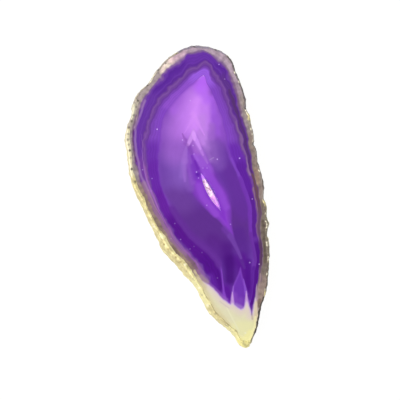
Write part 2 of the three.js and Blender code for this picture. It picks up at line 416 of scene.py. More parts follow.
# Tints of the heart: dark below, lavender on the left, a glow under its apex, dull on the right
HEART_VEILS = [
    Veil("5f2e8e", [(192, 224), (236, 226)], 10, 22, 0.95, IN_HEART),
    Veil("591f89", [(213, 243), (222, 252)], 4, 10, 0.7, IN_HEART),
    Veil("4f0f82", [(228, 248), (229, 262)], 1, 12, 0.7, IN_HEART),
    Veil("48067c", [(230, 260), (230, 280)], 1.5, 9, 0.9, IN_HEART),
    Veil("5c0e98", [(226, 290), (230, 303)], 1.5, 8, 0.9, IN_HEART),
    Veil("5a2690", [(239, 234), (243, 252)], 3, 8, 0.85, IN_HEART),
    Veil("580f90", [(241, 259), (246, 292)], 2.5, 8, 0.9, IN_HEART),
    Veil("51078c", [(248.5, 262), (248.5, 290)], 1, 4.5, 0.8, IN_HEART),
    Veil("652e9c", [(232, 172), (244, 210)], 4, 12, 0.8, IN_HEART),
    Veil("8c50c2", [(206, 92), (214, 124), (190, 120), (172, 120)], 12, 20, 1.0, IN_HEART),
    Veil("6c3e9b", [(170, 188), (184, 202)], 4, 15, 0.85, IN_HEART),
    Veil("7446ac", [(163, 158), (164, 182)], 3, 12, 0.8, IN_HEART),
    Veil("8558bc", [(178, 160), (181, 178)], 2, 16, 0.9, IN_HEART),
    Veil("7d4cb2", [(217, 148), (219, 164)], 2, 9, 0.85, IN_HEART),
    Veil("9c62cc", [(190, 106), (178, 128), (177, 150)], 4, 20, 0.9, IN_HEART),
    Veil("a660de", [(196, 86), (186, 98), (176, 110)], 2, 8, 0.9, IN_GLOW, 0.04),
    Veil("b270de", [(194, 100), (184, 120), (181, 130)], 3, 15, 0.9, IN_GLOW, 0.04),
    Veil("c47ef0", [(197, 98), (189, 118), (190, 128)], 3, 13, 0.9, IN_GLOW, 0.04),
    Veil("d48cfa", [(199, 104), (196, 125)], 2, 11, 0.95, IN_GLOW, 0.04),
    Veil("bb68fa", [(203.5, 80), (201.5, 87)], 1.5, 11, 0.9, IN_GLOW, 0.03),
    Veil("a860e6", [(211, 100), (214, 120)], 1.5, 7, 0.8, IN_GLOW, 0.04),
    Veil("c67ff2", [(204.5, 106), (205.5, 128)], 2, 7, 0.9, IN_HEART),
    Veil("bc6ef8", [(203.5, 90), (206.5, 100)], 1, 7, 0.7, IN_GLOW),
    Veil("9c58d8", [(217, 118), (219, 132)], 1, 7, 0.85, IN_HEART),
    Veil("8c4cc6", [(223, 128), (224, 138)], 0.5, 5, 0.7, IN_HEART),
    Veil("b27bdc", [(204.5, 136), (207, 147)], 1.5, 7, 0.85, IN_HEART),
    Veil("a468d2", [(211.5, 126), (211.5, 138)], 1, 5, 0.7, IN_HEART),
    Veil("c486ea", [(205, 138), (203.5, 130), (202, 118)], 0.8, 7, 0.75, IN_HEART, 0.1, 0.5),
    Veil("8f5dbe", [(212.5, 144), (214.5, 160)], 0.5, 7, 0.75, IN_HEART),
    Veil("c486ea", [(199, 133), (202.5, 143)], 0.8, 4.2, 0.8, IN_HEART),
    Veil("9b68c8", [(206.5, 151), (210, 160)], 0.8, 4.2, 0.75, IN_HEART),
    Veil("dc94fc", [(204.5, 135), (198.5, 124), (193.3, 114)], 0.3, 4, 0.55, IN_HEART, 0.1, 0.2),
    Veil("d68ff8", [(184.5, 133), (189.5, 125), (193.3, 118)], 0.3, 3.4, 0.4, IN_HEART, 0.1, 0.2),
    Veil("9668cc", [(183, 164), (182.5, 176)], 0.5, 5, 0.6, IN_HEART),
    Veil("8858bc", [(187, 176), (188, 183), (190.5, 188)], 0.8, 6, 0.6),
    Veil("9153bb", [(182.3, 133.5), (184, 137.5), (186.3, 140.5)], 0.5, 2.4, 0.7, IN_HEART, 0.1, 0.3),
    Veil("ba7cf2", [(198, 80), (203, 75.8)], 0.1, 1.1, 0.5),
    Veil("b08cd2", [(210, 159.6), (213.6, 157.6)], 0.1, 0.9, 0.5, IN_HEART),
]

# Tints of the core: the chevron at its top, the dark wedge inside it, the light round the slit
CORE_VEILS = [
    Veil("9b58d6", [(199, 158), (206, 170)], 2, 10, 0.95, IN_CORE),
    Veil("a869d2", [(194, 143), (197.5, 149)], 1, 8, 0.85, IN_CORE),
    Veil("8e52c6", [(188.8, 152), (189.5, 166), (192.5, 182)], 1.0, 4, 0.8, IN_CORE),
    Veil("7c38bc", [(192, 156), (196, 167), (199.5, 173)], 1.4, 4.2, 0.9, IN_CORE, 0.1, 0.4),
    Veil("7834bc", [(193, 166), (195.5, 178)], 0.8, 4, 0.7, IN_CORE),
    Veil("7026b6", [(195, 161), (198, 168.5)], 0.3, 3, 0.8, IN_CORE, 0.1, 0.6),
    Veil("5e1cac", [(197.8, 174.5)], 0.4, 3.6, 0.85, IN_CORE),
    Veil("8648b8", [(189.5, 146.5), (191.5, 153)], 0.4, 2.6, 0.75, IN_CORE),
    Veil("a462e0", [(194.5, 155), (198, 160)], 0.2, 2.2, 0.55, IN_CORE),
    Veil("a76cd6", [(207.5, 163), (203.5, 155), (199.5, 147)], 0.8, 4.4, 0.8, IN_CORE, 0.06, 0.3),
    Veil("bd7ee8", [(203, 155), (199.8, 148), (197, 141)], 1.0, 3.8, 0.8, IN_CORE, 0.05, 0.3),
    Veil("cf90f6", [(200.4, 149), (197.8, 143), (195.3, 136)], 1.2, 3.6, 0.85, IN_CORE, 0.05, 0.3),
    Veil("cf92f2", [(188, 144.5), (190.6, 138.5), (192.3, 134)], 1.7, 3.2, 0.9, IN_CORE, 0.05, 0.5),
    Veil("de9dff", [(194.6, 139.5), (193.5, 131)], 1.4, 3.6, 0.85, IN_CORE, 0.05, 0.4),
    Veil("a46cd4", [(184.9, 181), (184.6, 172), (184.8, 161)], 0.6, 4.6, 0.45, ANY_BAND, 0.1, 0.4),
    Veil("a871d8", [(186.6, 147), (185.5, 153), (184.8, 161)], 1.0, 4.0, 0.55, ANY_BAND, 0.1, 0.4),
    Veil("9153bb", [(184.5, 143.5), (187, 144.5), (188.5, 147)], 0.3, 2, 0.6),
    Veil("9349d2", [(199, 186), (203, 197), (209, 205), (216, 214)], 1.2, 4, 0.9, IN_CORE),
    Veil("9249d2", [(206, 170), (213, 181), (220.5, 193), (226, 207)], 1.2, 4, 0.9, IN_CORE),
    Veil("6f38a6", [(224, 229), (230, 236)], 1.0, 3.2, 0.8),
    Veil("623096", [(244.5, 268), (240.5, 258), (237, 250)], 1, 5, 0.5, IN_HEART, 0.1, 0.3),
    Veil("7340a9", [(241, 258), (237.5, 250), (233.5, 242), (230, 236)], 1.3, 2.8, 0.85,
         ANY_BAND, 0.1, 0.45),
]

# Tints between the heart and the mauve line: bright above, dark below, with light lines
OUTER_VEILS = [
    Veil("9151cc", [(166, 103), (178, 90), (192, 79)], 2.5, 6, 0.85, (1.95, 2.5), 0.04),
    Veil("9a5ce0", [(197, 74), (204, 70), (209, 77)], 3, 12, 0.95, (2.05, 2.6), 0.06),
    Veil("6a2caa", [(152, 150), (155, 166)], 3, 12, 0.9, ROUND_HEART),
    Veil("6825a6", [(154, 170), (158, 190)], 4, 12, 0.95, ROUND_HEART),
    Veil("651c9e", [(162, 199), (169, 213)], 4, 11, 0.95, ROUND_HEART),
    Veil("58108e", [(175, 226), (200, 256)], 6, 12, 1.0, ROUND_HEART),
    Veil("52098a", [(209, 264), (216, 284)], 6, 10, 1.0, ROUND_HEART),
    Veil("6a28ae", [(234, 150), (240, 164)], 3, 9, 0.9, ROUND_HEART),
    Veil("60209f", [(241, 168), (248, 190)], 3, 9, 1.0, (2.1, 2.8)),
    Veil("5a1e92", [(251, 200), (254, 232)], 3, 8, 1.0, (2.15, 2.8)),
    Veil("52108a", [(256, 248), (256, 266), (253, 300)], 3, 10, 1.0, (2.15, 2.9)),
    Veil("8244c4", [(231, 159), (236.2, 169.5), (239.5, 177)], 0.5, 1.8, 0.8, (1.9, 2.2)),
    Veil("7434b2", [(240, 178), (250, 206), (250.6, 234)], 1.0, 2.6, 0.85, (1.8, 2.25)),
    Veil("682c9e", [(250.6, 234), (256, 260), (254.5, 268)], 1.0, 2.4, 0.8, (1.8, 2.25)),
    Veil("5a1a96", [(254, 268), (252.8, 284), (251, 298)], 1.0, 2.4, 0.8, (1.8, 2.25)),
    Veil("652c98", [(172, 210), (188, 233), (209, 252), (219, 264)], 2, 5, 0.85, (1.8, 2.2)),
    Veil("8a44c8", [(221.6, 270), (223, 287), (225, 298)], 0.4, 1.7, 0.8, ANY_BAND, 0.1, 0.2),
    Veil("6624a6", [(211, 276), (216, 288)], 0.5, 5, 0.6, (2.2, 2.9)),
]

# Tints of the mauve line and of the purple and the plum between it and the rind
LINE_VEILS = [
    Veil("9058a8", [(145.5, 172), (150, 190), (159, 211), (170, 231), (196, 262)],
         3, 8, 0.95, (2.92, 3.2), 0.08),
    Veil("9466aa", [(200, 270), (206, 280)], 2, 6, 0.8, (3.05, 3.5), 0.25),
    Veil("9c6eaa", [(168, 229), (175.4, 240), (180.2, 245.4), (186, 253.5)], 0.4, 1.9, 0.6),
    Veil("9a6cab", [(195, 262), (199.6, 268), (204, 275)], 0.4, 1.9, 0.5),
    Veil("845e98", [(236, 124), (244.5, 150), (248.5, 172)], 1, 4, 0.9, MAUVE_LINE, 0.06),
    Veil("80597e", [(253.5, 190), (257, 210), (257.4, 232)], 2, 5, 0.9, MAUVE_LINE, 0.08),
    Veil("5b3370", [(259.8, 246), (260, 264)], 2, 6, 0.95, (2.85, 3.2)),
    Veil("7840a0", [(139, 162), (143, 180)], 3, 9, 0.8, OUTER_PURPLE),
    Veil("946e90", [(144, 184), (156, 210), (167, 230), (182, 249), (204, 279)],
         4, 8, 0.95, (3.25, 4.1), 0.2, 0.4),
    Veil("6a33a9", [(190, 56), (212, 56)], 4, 8, 0.8, (3.25, 3.85)),
    Veil("6c38a6", [(150, 100), (139, 128), (139, 150)], 4, 8, 0.7, (3.2, 3.85)),
    Veil("8055a0", [(143, 101), (152, 88), (166, 70), (181, 58)], 3, 8, 0.85, (3.84, 4.16)),
    Veil("7c5894", [(198, 47), (214, 53), (226, 66), (235, 84)], 3, 7, 0.85, (3.88, 4.2)),
    Veil("5e3388", [(227, 80), (232, 104)], 3, 9, 0.8, (3.12, 3.65)),
    Veil("80607e", [(229, 72), (236, 92), (241, 108)], 2.5, 7, 0.8, (3.85, 4.15), 0.18),
    Veil("55306c", [(229, 90), (240, 120), (247, 150), (252, 178)], 2, 8, 0.9, (3.2, 3.75),
         0.3, 0.2),
    Veil("6a4b52", [(252.5, 176), (256, 190), (259, 208)], 2, 7, 0.95, (3.2, 3.95), 0.24, 0.5),
    Veil("6a4f66", [(259.5, 214), (259.5, 236)], 2, 8, 0.95, (3.15, 3.95), 0.12),
    Veil("5a3d58", [(261.5, 246), (261.5, 262)], 2, 8, 0.95, (3.1, 3.95), 0.12),
    Veil("745a70", [(260, 272), (257, 292)], 2, 8, 0.95, (3.05, 4.0), 0.12),
    Veil("ac86be", [(144.9, 100.4), (139.3, 117), (135.4, 127), (134.8, 140), (136, 150),
                    (138.3, 162), (141, 176), (148, 190)], 0.2, 1.7, 0.5),
    Veil("ae84a6", [(164, 222), (154, 204), (148, 190)], 0.2, 1.6, 0.5, ANY_BAND, 0.1, 0.2),
    Veil("5c2c6c", [(136.4, 115), (133.2, 128), (132.6, 140), (133.6, 150), (136, 162)],
         0.2, 1.3, 0.6),
    Veil("a672c6", [(141.6, 134), (143.4, 166), (146.6, 181), (150.8, 190.6)],
         0.3, 1.4, 0.6, ANY_BAND, 0.1, 0.1),
    Veil("a672c6", [(166, 223), (156.5, 204), (150.8, 190.6)],
         0.3, 1.4, 0.6, ANY_BAND, 0.1, 0.1),
    Veil("a882ac", [(246, 157), (248.4, 168), (250.2, 174.5)], 0.2, 1.6, 0.5, ANY_BAND, 0.1, 0.2),
    Veil("a07c88", [(257.8, 210), (255.8, 200), (253.4, 188)], 0.1, 1.2, 0.5, ANY_BAND, 0.1, 0.3),
]

# Tints of the rind: pinkish at the top, brown on the lower sides, a film of gold at the left
RIND_VEILS = [
    Veil("b49dae", [(176, 56), (204, 46), (234, 80)], 5, 16, 0.9, IN_RIND, 0.25),
    Veil("ac9c9e", [(142, 92), (152, 80), (160, 72)], 3, 6, 0.7, IN_RIND),
    Veil("ecd6ca", [(161, 72), (166, 66.5)], 1.2, 5, 0.9, IN_RIND, 0.25, 0.5),
    Veil("f8e6d6", [(166.5, 65.5), (170.5, 62)], 1.4, 4, 0.9, IN_RIND, 0.25, 0.6),
    Veil("e8c8c8", [(172.5, 60.5)], 1.5, 4.5, 0.75, IN_RIND, 0.3),
    Veil("d4b2c0", [(175.5, 58), (183, 53.5)], 0.8, 6, 0.75, IN_RIND, 0.35, 0.6),
    Veil("967f70", [(140, 196), (190, 262)], 5, 14, 0.9, IN_RIND),
    Veil("74645a", [(156, 219), (161, 226)], 0.6, 3, 0.4, IN_RIND),
    Veil("785a6b", [(189, 257), (193, 262.5), (196, 267)], 0.8, 3.4, 0.75, (3.3, PAST_EDGE)),
    Veil("6c5650", [(173, 248), (178, 254)], 0.6, 3, 0.6, IN_RIND),
    Veil("8c7a70", [(252, 140), (260, 196)], 4, 8, 0.8, IN_RIND),
    Veil("a08672", [(256, 170), (257.5, 182)], 1, 3, 0.7, IN_RIND),
    Veil("7a6c62", [(264, 208), (265, 270)], 4, 8, 0.9, IN_RIND),
    Veil("5e5244", [(263, 222), (264.4, 236), (265, 262)], 0.3, 2.2, 0.65, IN_RIND),
    Veil("947f74", [(262, 284), (260, 298)], 4, 8, 0.8, IN_RIND),
    Veil("a8908f", [(260.2, 274), (258.8, 286), (257, 300)], 0.8, 2.8, 0.7, (3.4, PAST_EDGE), 0.2, 0.3),
    Veil("7a6356", [(259.5, 300), (259, 306)], 0.8, 2, 0.8, IN_RIND),
    Veil("cdbb97", [(195, 271), (202, 282)], 1.5, 4, 0.9, IN_RIND, 0.1, 0.4),
]

# Lights at the flames of the dye's front, over the spearhead
FLAME_VEILS = [
    Veil("8c4cc0", [(234.6, 295), (236, 302)], 0.3, 4.6, 0.6),
    Veil("8549bc", [(241, 300), (241, 305)], 0.3, 4.6, 0.6),
    Veil("9c64d2", [(233.4, 286), (232.4, 298)], 0.5, 2.2, 0.75, ANY_BAND, 0.1, 0.2),
    Veil("cfa2e2", [(232.4, 292), (232.4, 303)], 0.7, 2.4, 0.85, ANY_BAND, 0.1, 0.15),
    Veil("9054d2", [(243.6, 279), (246.4, 294)], 0.5, 2.2, 0.75, ANY_BAND, 0.1, 0.2),
    Veil("d0a4e2", [(246.2, 291), (246.8, 305)], 0.8, 2.8, 0.85, ANY_BAND, 0.1, 0.12),
    Veil("a77cd0", [(236, 305), (243, 308.5)], 0.2, 3.2, 0.7),
    Veil("9d62c2", [(208.5, 284), (213, 287.6), (217.5, 292), (222, 297), (226, 299.6)],
         0.3, 2.8, 0.6),
    Veil("a38998", [(201, 276.5), (207, 282)], 0.8, 2.6, 0.75, (2.6, 4.4)),
    Veil("c0a5b6", [(256.8, 284), (255.6, 299)], 0.6, 2.6, 0.7, (2.9, PAST_EDGE), 0.2, 0.15),
]

# Tints of the undyed tip: gilded at its sides, pinkish along the dye, a pale streak
TIP_VEILS = [
    Veil("b4a488", [(186, 266), (193, 274), (199, 281)], 1.5, 4, 0.9),
    Veil("d4c49c", [(198, 280), (203, 287)], 1.5, 4, 0.8),
    Veil("dacd9f", [(203, 291), (213, 309), (224, 321), (232, 331)], 1.5, 4.5, 0.8),
    Veil("dccba6", [(257, 303), (256, 318), (254, 328)], 1.0, 2.5, 0.8),
    Veil("ebe7b0", [(238, 329), (250, 329)], 4, 8, 0.8),
    Veil("f5eea8", [(238, 340), (245, 341), (251, 334)], 2, 4.5, 0.9),
    Veil("ece9c6", [(227, 308), (231, 316), (238, 329)], 0.1, 1.2, 0.7),
    Veil("cdb9ba", [(220, 301.5), (226, 306), (229, 308)], 0.1, 1.1, 0.45),
    Veil("bcae8c", [(251.8, 314), (252.4, 319)], 0.2, 1.2, 0.7),
    Veil("f6f0b6", [(255.4, 317), (254.4, 327), (251.8, 336)], 0.3, 1.5, 0.7),
    Veil("f2f0d4", [(245.4, 333)], 0.4, 1.0, 0.8),
    Veil("f0edcc", [(238.8, 331)], 0.3, 0.9, 0.6),
]

# Where the plating is thin and the rind shows through, grey at the top; the darkening on the right side
# and the dark lines along the right outline are painted shade
THIN_PLATING_AND_SHADE = [
    Veil("b6aaa4", [(172, 58), (159, 68), (148, 84), (139, 96), (135, 110), (131, 124)], 3, 4, 0.85),
    Veil("94899a", [(182, 50), (204, 46), (222, 53)], 3, 5),
    Veil("7c7074", [(229, 60), (237, 76), (243, 94), (246, 108)], 3, 4),
    Veil("8c8078", [(250, 125), (254, 150), (258, 175), (262, 195)], 3, 5),
    Veil("766a5a", [(266, 212), (268, 235), (269, 255)], 4, 6),
    Veil("62564f", [(268, 268), (266, 285)], 4, 5),
    Veil("6c5c52", [(262, 300), (258, 316), (255, 331)], 3, 4),
    # Painted shade: dark lines along the right outline
    Veil("443a34", [(262.5, 298), (259.4, 311), (257, 325), (254.2, 336), (251.6, 342)], 0.9, 1.2),
    Veil("4c4144", [(228, 57), (235.5, 70), (241.5, 85), (246, 102), (247.6, 110)], 0.4, 1.2, 0.8),
    Veil("564942", [(253.8, 142), (257.4, 151), (259, 161), (262.6, 172), (264, 188)],
         0.5, 1.3, 0.7),
]

# Where the plating is thickest, with painted light: brighter cream on the lit left side and the tip,
# painted highlight lines and a spot along the lap's inner edge, and small darker dots beside them
THICK_AND_LIT_PLATING = [
    Veil("f2e9d0", [(126, 134), (127, 158), (129, 172)], 3, 5, 0.7),
    Veil("f8f2d2", [(153.5, 73), (149.5, 81)], 0.8, 1.6, 0.9),
    Veil("f6f0ce", [(134, 105), (131.5, 118)], 0.7, 1.6, 0.8),
    Veil("f4ecd2", [(164, 66), (170, 61)], 0.7, 1.6, 0.8),
    Veil("faf3b4", [(194, 279), (199, 289), (207, 305)], 1.5, 3, 0.7),
    Veil("faf2ae", [(228, 329), (240, 342), (247, 342)], 2, 4, 0.7),
    Veil("fff4a0", [(241, 345), (247, 345)], 3, 5, 0.95),
    Veil("f6f0b6", [(255.4, 317), (254.4, 327), (251.8, 336)], 0.3, 1.5, 0.7),
    Veil("fff8c4", [(161, 235), (163, 237)], 1.2, 1.6, 0.8),
    Veil("f2e8b2", [(166, 240), (174, 250.5), (182, 258)], 0.3, 1.2, 0.7),
    Veil("ad965a", [(164, 244.5)], 0.4, 1.3, 0.8),
    Veil("bda76c", [(168.3, 249)], 0.4, 1.2, 0.7),
    Veil("b09a60", [(175.8, 257.3)], 0.4, 1.3, 0.8),
    Veil("bda870", [(178.6, 262.6), (181.4, 261.8)], 0.3, 1.2, 0.7),
]

# Tints of the crystals: violet at both ends of the slit, and a few small dark specks
DRUSE_VEILS = [
    Veil("7834b6", [(205.2, 175.5), (211, 184.5), (216.3, 194), (220, 202), (222, 209)],
         1.3, 1.4, 0.95),
    Veil("d38ef8", [(200.5, 171), (203, 177)], 0.8, 2.6, 0.8),
    Veil("d38cf4", [(217.5, 206), (222, 212)], 0.8, 2.6, 0.8),
    Veil("f0b4f0", [(213, 199), (217, 206)], 1.5, 3, 0.7),
    Veil("b08c98", [(203.6, 182)], 0.3, 1.0, 0.7),
    Veil("a88490", [(206.5, 187.6), (209, 188.4), (210.6, 190.6)], 0.2, 0.9, 0.7),
]

# Where the plating laps furthest over the face, down the left side
LAP_LINE = [
    (139.6, 100), (137.2, 108), (134.9, 115.3), (132.6, 121.2), (130.2, 128), (129.4, 138),
    (130.9, 150), (132, 160), (133, 169), (135.5, 180), (138.5, 188), (143.5, 197), (148, 208),
    (152.5, 218), (158.6, 228), (165, 236), (169.8, 244), (175.4, 252.5), (183.8, 260), (188.5, 266),
    (193, 273), (197, 280), (200, 287),
]

# Small round marks, each with its pixel and how strong it is. First, small pale specks on the polish
SPECKS = [
    (157.1, 129.2, 1.0), (239.6, 158.2, 1.0), (217.3, 159.2, 0.75), (190.3, 100.5, 0.45),
    (182.5, 140, 0.7), (196.5, 172, 0.75), (198.5, 178, 0.4), (219, 64.3, 0.5),
    (224.7, 79, 0.3), (142.6, 169.7, 0.35), (152, 178.5, 0.3), (174.8, 223.5, 0.22),
    (180.6, 239.5, 0.28), (190, 249, 0.18), (202, 252.6, 0.12), (206.8, 205.3, 0.5),
    (230.5, 224.3, 0.35), (249.8, 262.6, 0.5), (252.3, 199, 0.5), (259.3, 264.2, 0.6),
    (217.5, 278, 0.15), (203.5, 75.8, 0.5), (193, 145.5, 0.5), (194, 154, 0.3),
    (207, 168, 0.3), (203, 168, 0.25), (171, 238.6, 0.2), (194, 246.5, 0.12),
]

# Dark hollows in the rind beside the plating
RIND_HOLLOWS = [(161, 227, 0.4), (173, 253, 0.3), (194.5, 263.5, 0.3)]

# Painted shade: dark spots in the plating's hollows and along its outline
PLATING_SHADE_SPOTS = [
    (194, 47, 0.9), (176.6, 54.4, 0.8), (172.6, 58.5, 0.6), (157.8, 69.7, 0.8),
    (147.6, 85.5, 0.8), (138, 100.5, 0.8), (136.2, 107, 0.5), (133.6, 115.3, 0.6),
    (131.6, 121.2, 0.7), (128.6, 127.5, 0.7), (127.9, 134, 0.5), (127.8, 139.5, 0.6),
    (128.6, 144.5, 0.5), (129.8, 150.4, 0.9), (130.6, 158, 0.4), (131.8, 169, 0.9),
    (135.4, 181.6, 0.6), (215.5, 49.8, 0.8), (230.3, 61.5, 0.8), (239.5, 85.5, 0.8),
    (243, 98, 0.6), (245.1, 108, 0.8), (253.2, 144.2, 0.6), (256.5, 156, 0.6),
    (257, 163.6, 0.6), (262.6, 186, 0.6), (263.8, 226, 0.5), (265, 236, 0.5),
    (215.5, 314, 0.35), (226, 320.5, 0.4), (228, 325.5, 0.3),
]

# Painted glints: bright spots on knobs of the plating
PLATING_GLINTS = [
    (234, 72.8, 0.8), (238.4, 81.8, 0.6), (245.4, 110.8, 0.9), (246.6, 113, 1.0),
    (246.4, 115.2, 0.9), (250.6, 129, 0.7), (251.4, 134, 0.6), (252.8, 140.6, 0.5),
    (258.7, 171, 0.8), (264.7, 213.4, 0.6), (265.4, 222, 0.9), (266.8, 224.4, 0.8),
    (266.6, 227.2, 0.9), (267, 242.6, 0.8), (267.4, 245, 0.8), (266.8, 254.2, 0.8),
    (267.4, 257, 0.9), (268, 259.5, 0.6), (266.6, 274, 0.6), (264.8, 289.4, 0.3),
    (153.8, 226.8, 0.7), (152.4, 224.6, 0.6), (185, 264.6, 0.8), (199, 288, 0.8),
    (207.5, 305.5, 0.8),
]


@dataclass(frozen=True)
class Cloud:
    """Soft noise.

    Attributes:
        size: about how wide its lumps are, in millimetres.
        detail: how many finer layers lie over them.
    """

    size: float
    detail: float = 2.0


class Nodes:
    """A short way to write the shader nodes of one node tree.

    Attributes:
        dot_fade: where a round mark's cover begins and where it's full, in shares of its radius.
    """

    dot_fade: Span = (1.6, 0.4)

    def __init__(self, tree: bpy.types.NodeTree) -> None:
        """Starts writing into a tree."""
        self.tree = tree

    def add(self, kind: str, values: dict[str | int, Value], **settings: str | bool) -> bpy.types.Node:
        """Adds one node.

        Args:
            kind: the node's type, without the word ShaderNode that all of them start with.
            values: what goes into its inputs, by name or number.
            settings: the node's own settings.

        Returns:
            The node.
        """
        node = self.tree.nodes.new("ShaderNode" + kind)
        for name, setting in settings.items():
            setattr(node, name, setting)
        for key, value in values.items():
            self.feed(node.inputs[key], value)
        return node

    def feed(self, socket: bpy.types.NodeSocket, value: Value) -> None:
        """Links a socket to another one, or sets its value."""
        if isinstance(value, bpy.types.NodeSocket):
            self.tree.links.new(value, socket)
        else:
            socket.default_value = value

    def math(self, operation: str, *values: Value) -> bpy.types.NodeSocket:
        """The result of a Math node."""
        return self.add("Math", dict(enumerate(values)), operation=operation).outputs[0]

    def vector(self, operation: str, *values: Value) -> bpy.types.Node:
        """A Vector Math node."""
        return self.add("VectorMath", dict(enumerate(values)), operation=operation)

    def scaled(self, vector: Value, factor: Value) -> bpy.types.NodeSocket:
        """A vector times a number."""
        node = self.add("VectorMath", {0: vector, "Scale": factor}, operation="SCALE")
        return node.outputs[0]

    def fade(self, value: Value, zero: Value, one: Value) -> bpy.types.NodeSocket:
        """A number that goes smoothly from 0 to 1 while a value goes from zero to one."""
        ends = {"Value": value, "From Min": zero, "From Max": one}
        node = self.add("MapRange", ends, interpolation_type="SMOOTHSTEP", clamp=False)
        return node.outputs[0]

    def blend(self, share: Value, low: Value, high: Value) -> bpy.types.NodeSocket:
        """A colour between two colours."""
        node = self.add("Mix", {0: share}, data_type="RGBA")
        colours = {socket.name: socket for socket in node.inputs if socket.type == "RGBA"}
        self.feed(colours["A"], low)
        self.feed(colours["B"], high)
        return next(socket for socket in node.outputs if socket.type == "RGBA")

    def noise_node(self, place: Value, cloud: Cloud) -> bpy.types.Node:
        """A Noise Texture node."""
        inputs = {"Vector": place, "Scale": 1 / cloud.size, "Detail": cloud.detail}
        return self.add("TexNoise", inputs)

    def noise(self, place: Value, cloud: Cloud) -> bpy.types.NodeSocket:
        """Soft noise around 0.5."""
        return self.noise_node(place, cloud).outputs[0]

    def swing(self, place: Value, cloud: Cloud) -> bpy.types.NodeSocket:
        """Soft noise around 0."""
        return self.math("SUBTRACT", self.noise(place, cloud), 0.5)

    def level_shift(self, place: Value, cloud: Cloud, reach: float) -> bpy.types.NodeSocket:
        """A level shift that differs from one place to the next.

        Args:
            place: the place, in millimetres.
            cloud: the noise that it follows.
            reach: how far apart two opposite shifts can be, in millimetres.

        Returns:
            The shift as a vector, in millimetres.
        """
        colour = self.noise_node(place, cloud).outputs["Color"]
        shift = self.vector("SUBTRACT", colour, (0.5, 0.5, 0.5)).outputs[0]
        return self.vector("MULTIPLY", shift, (reach, reach, 0)).outputs[0]

    def cells(self, place: Value, size: float, feature: str = "F1") -> bpy.types.NodeSocket:
        """The distance from the nearest of scattered points, in cells of a size."""
        inputs = {"Vector": place, "Scale": 1 / size}
        return self.add("TexVoronoi", inputs, feature=feature).outputs["Distance"]

    def attribute(self, name: str) -> bpy.types.NodeSocket:
        """A number that the mesh holds at each of its points."""
        return self.add("Attribute", {}, attribute_name=name).outputs["Fac"]

    def millimetres(self) -> bpy.types.NodeSocket:
        """The place on the piece, in millimetres."""
        return self.scaled(self.add("TexCoord", {}).outputs["Object"], 1 / MM)

    def from_above(self, place: Value) -> bpy.types.NodeSocket:
        """A place without its height, as it shows from straight above."""
        return self.vector("MULTIPLY", place, (1, 1, 0)).outputs[0]

    def dots(self, place: Value, marks: list[Mark], radius: float) -> bpy.types.NodeSocket:
        """How much small round marks cover.

        Args:
            place: the place on the face, in millimetres.
            marks: each mark's pixel, and how strong it is.
            radius: their radius, in pixels.

        Returns:
            A number from 0 to 1.
        """
        start, full = (share * radius / PHOTO.pixels_per_mm for share in self.dot_fade)
        most = 0.0
        for across, down, strength in marks:
            at = tuple(PHOTO.point(across, down))
            gap = self.vector("DISTANCE", place, at).outputs["Value"]
            dot = self.fade(gap, start, full)
            most = self.math("MAXIMUM", most, self.math("MULTIPLY", dot, strength))
        return most

    def bump(self, height: Value, depth: float) -> bpy.types.NodeSocket:
        """The normal of a surface that rises by a depth in millimetres where height is 1."""
        inputs = {"Height": height, "Distance": depth * MM, "Strength": 1.0}
        return self.add("Bump", inputs).outputs[0]


def new_material(name: str) -> tuple[bpy.types.Material, Nodes, bpy.types.Node]:
    """A new material, the writer of its nodes, and its surface shader."""
    material = bpy.data.materials.new(name)
    material.use_nodes = True
    surface = material.node_tree.nodes["Principled BSDF"]
    return material, Nodes(material.node_tree), surface


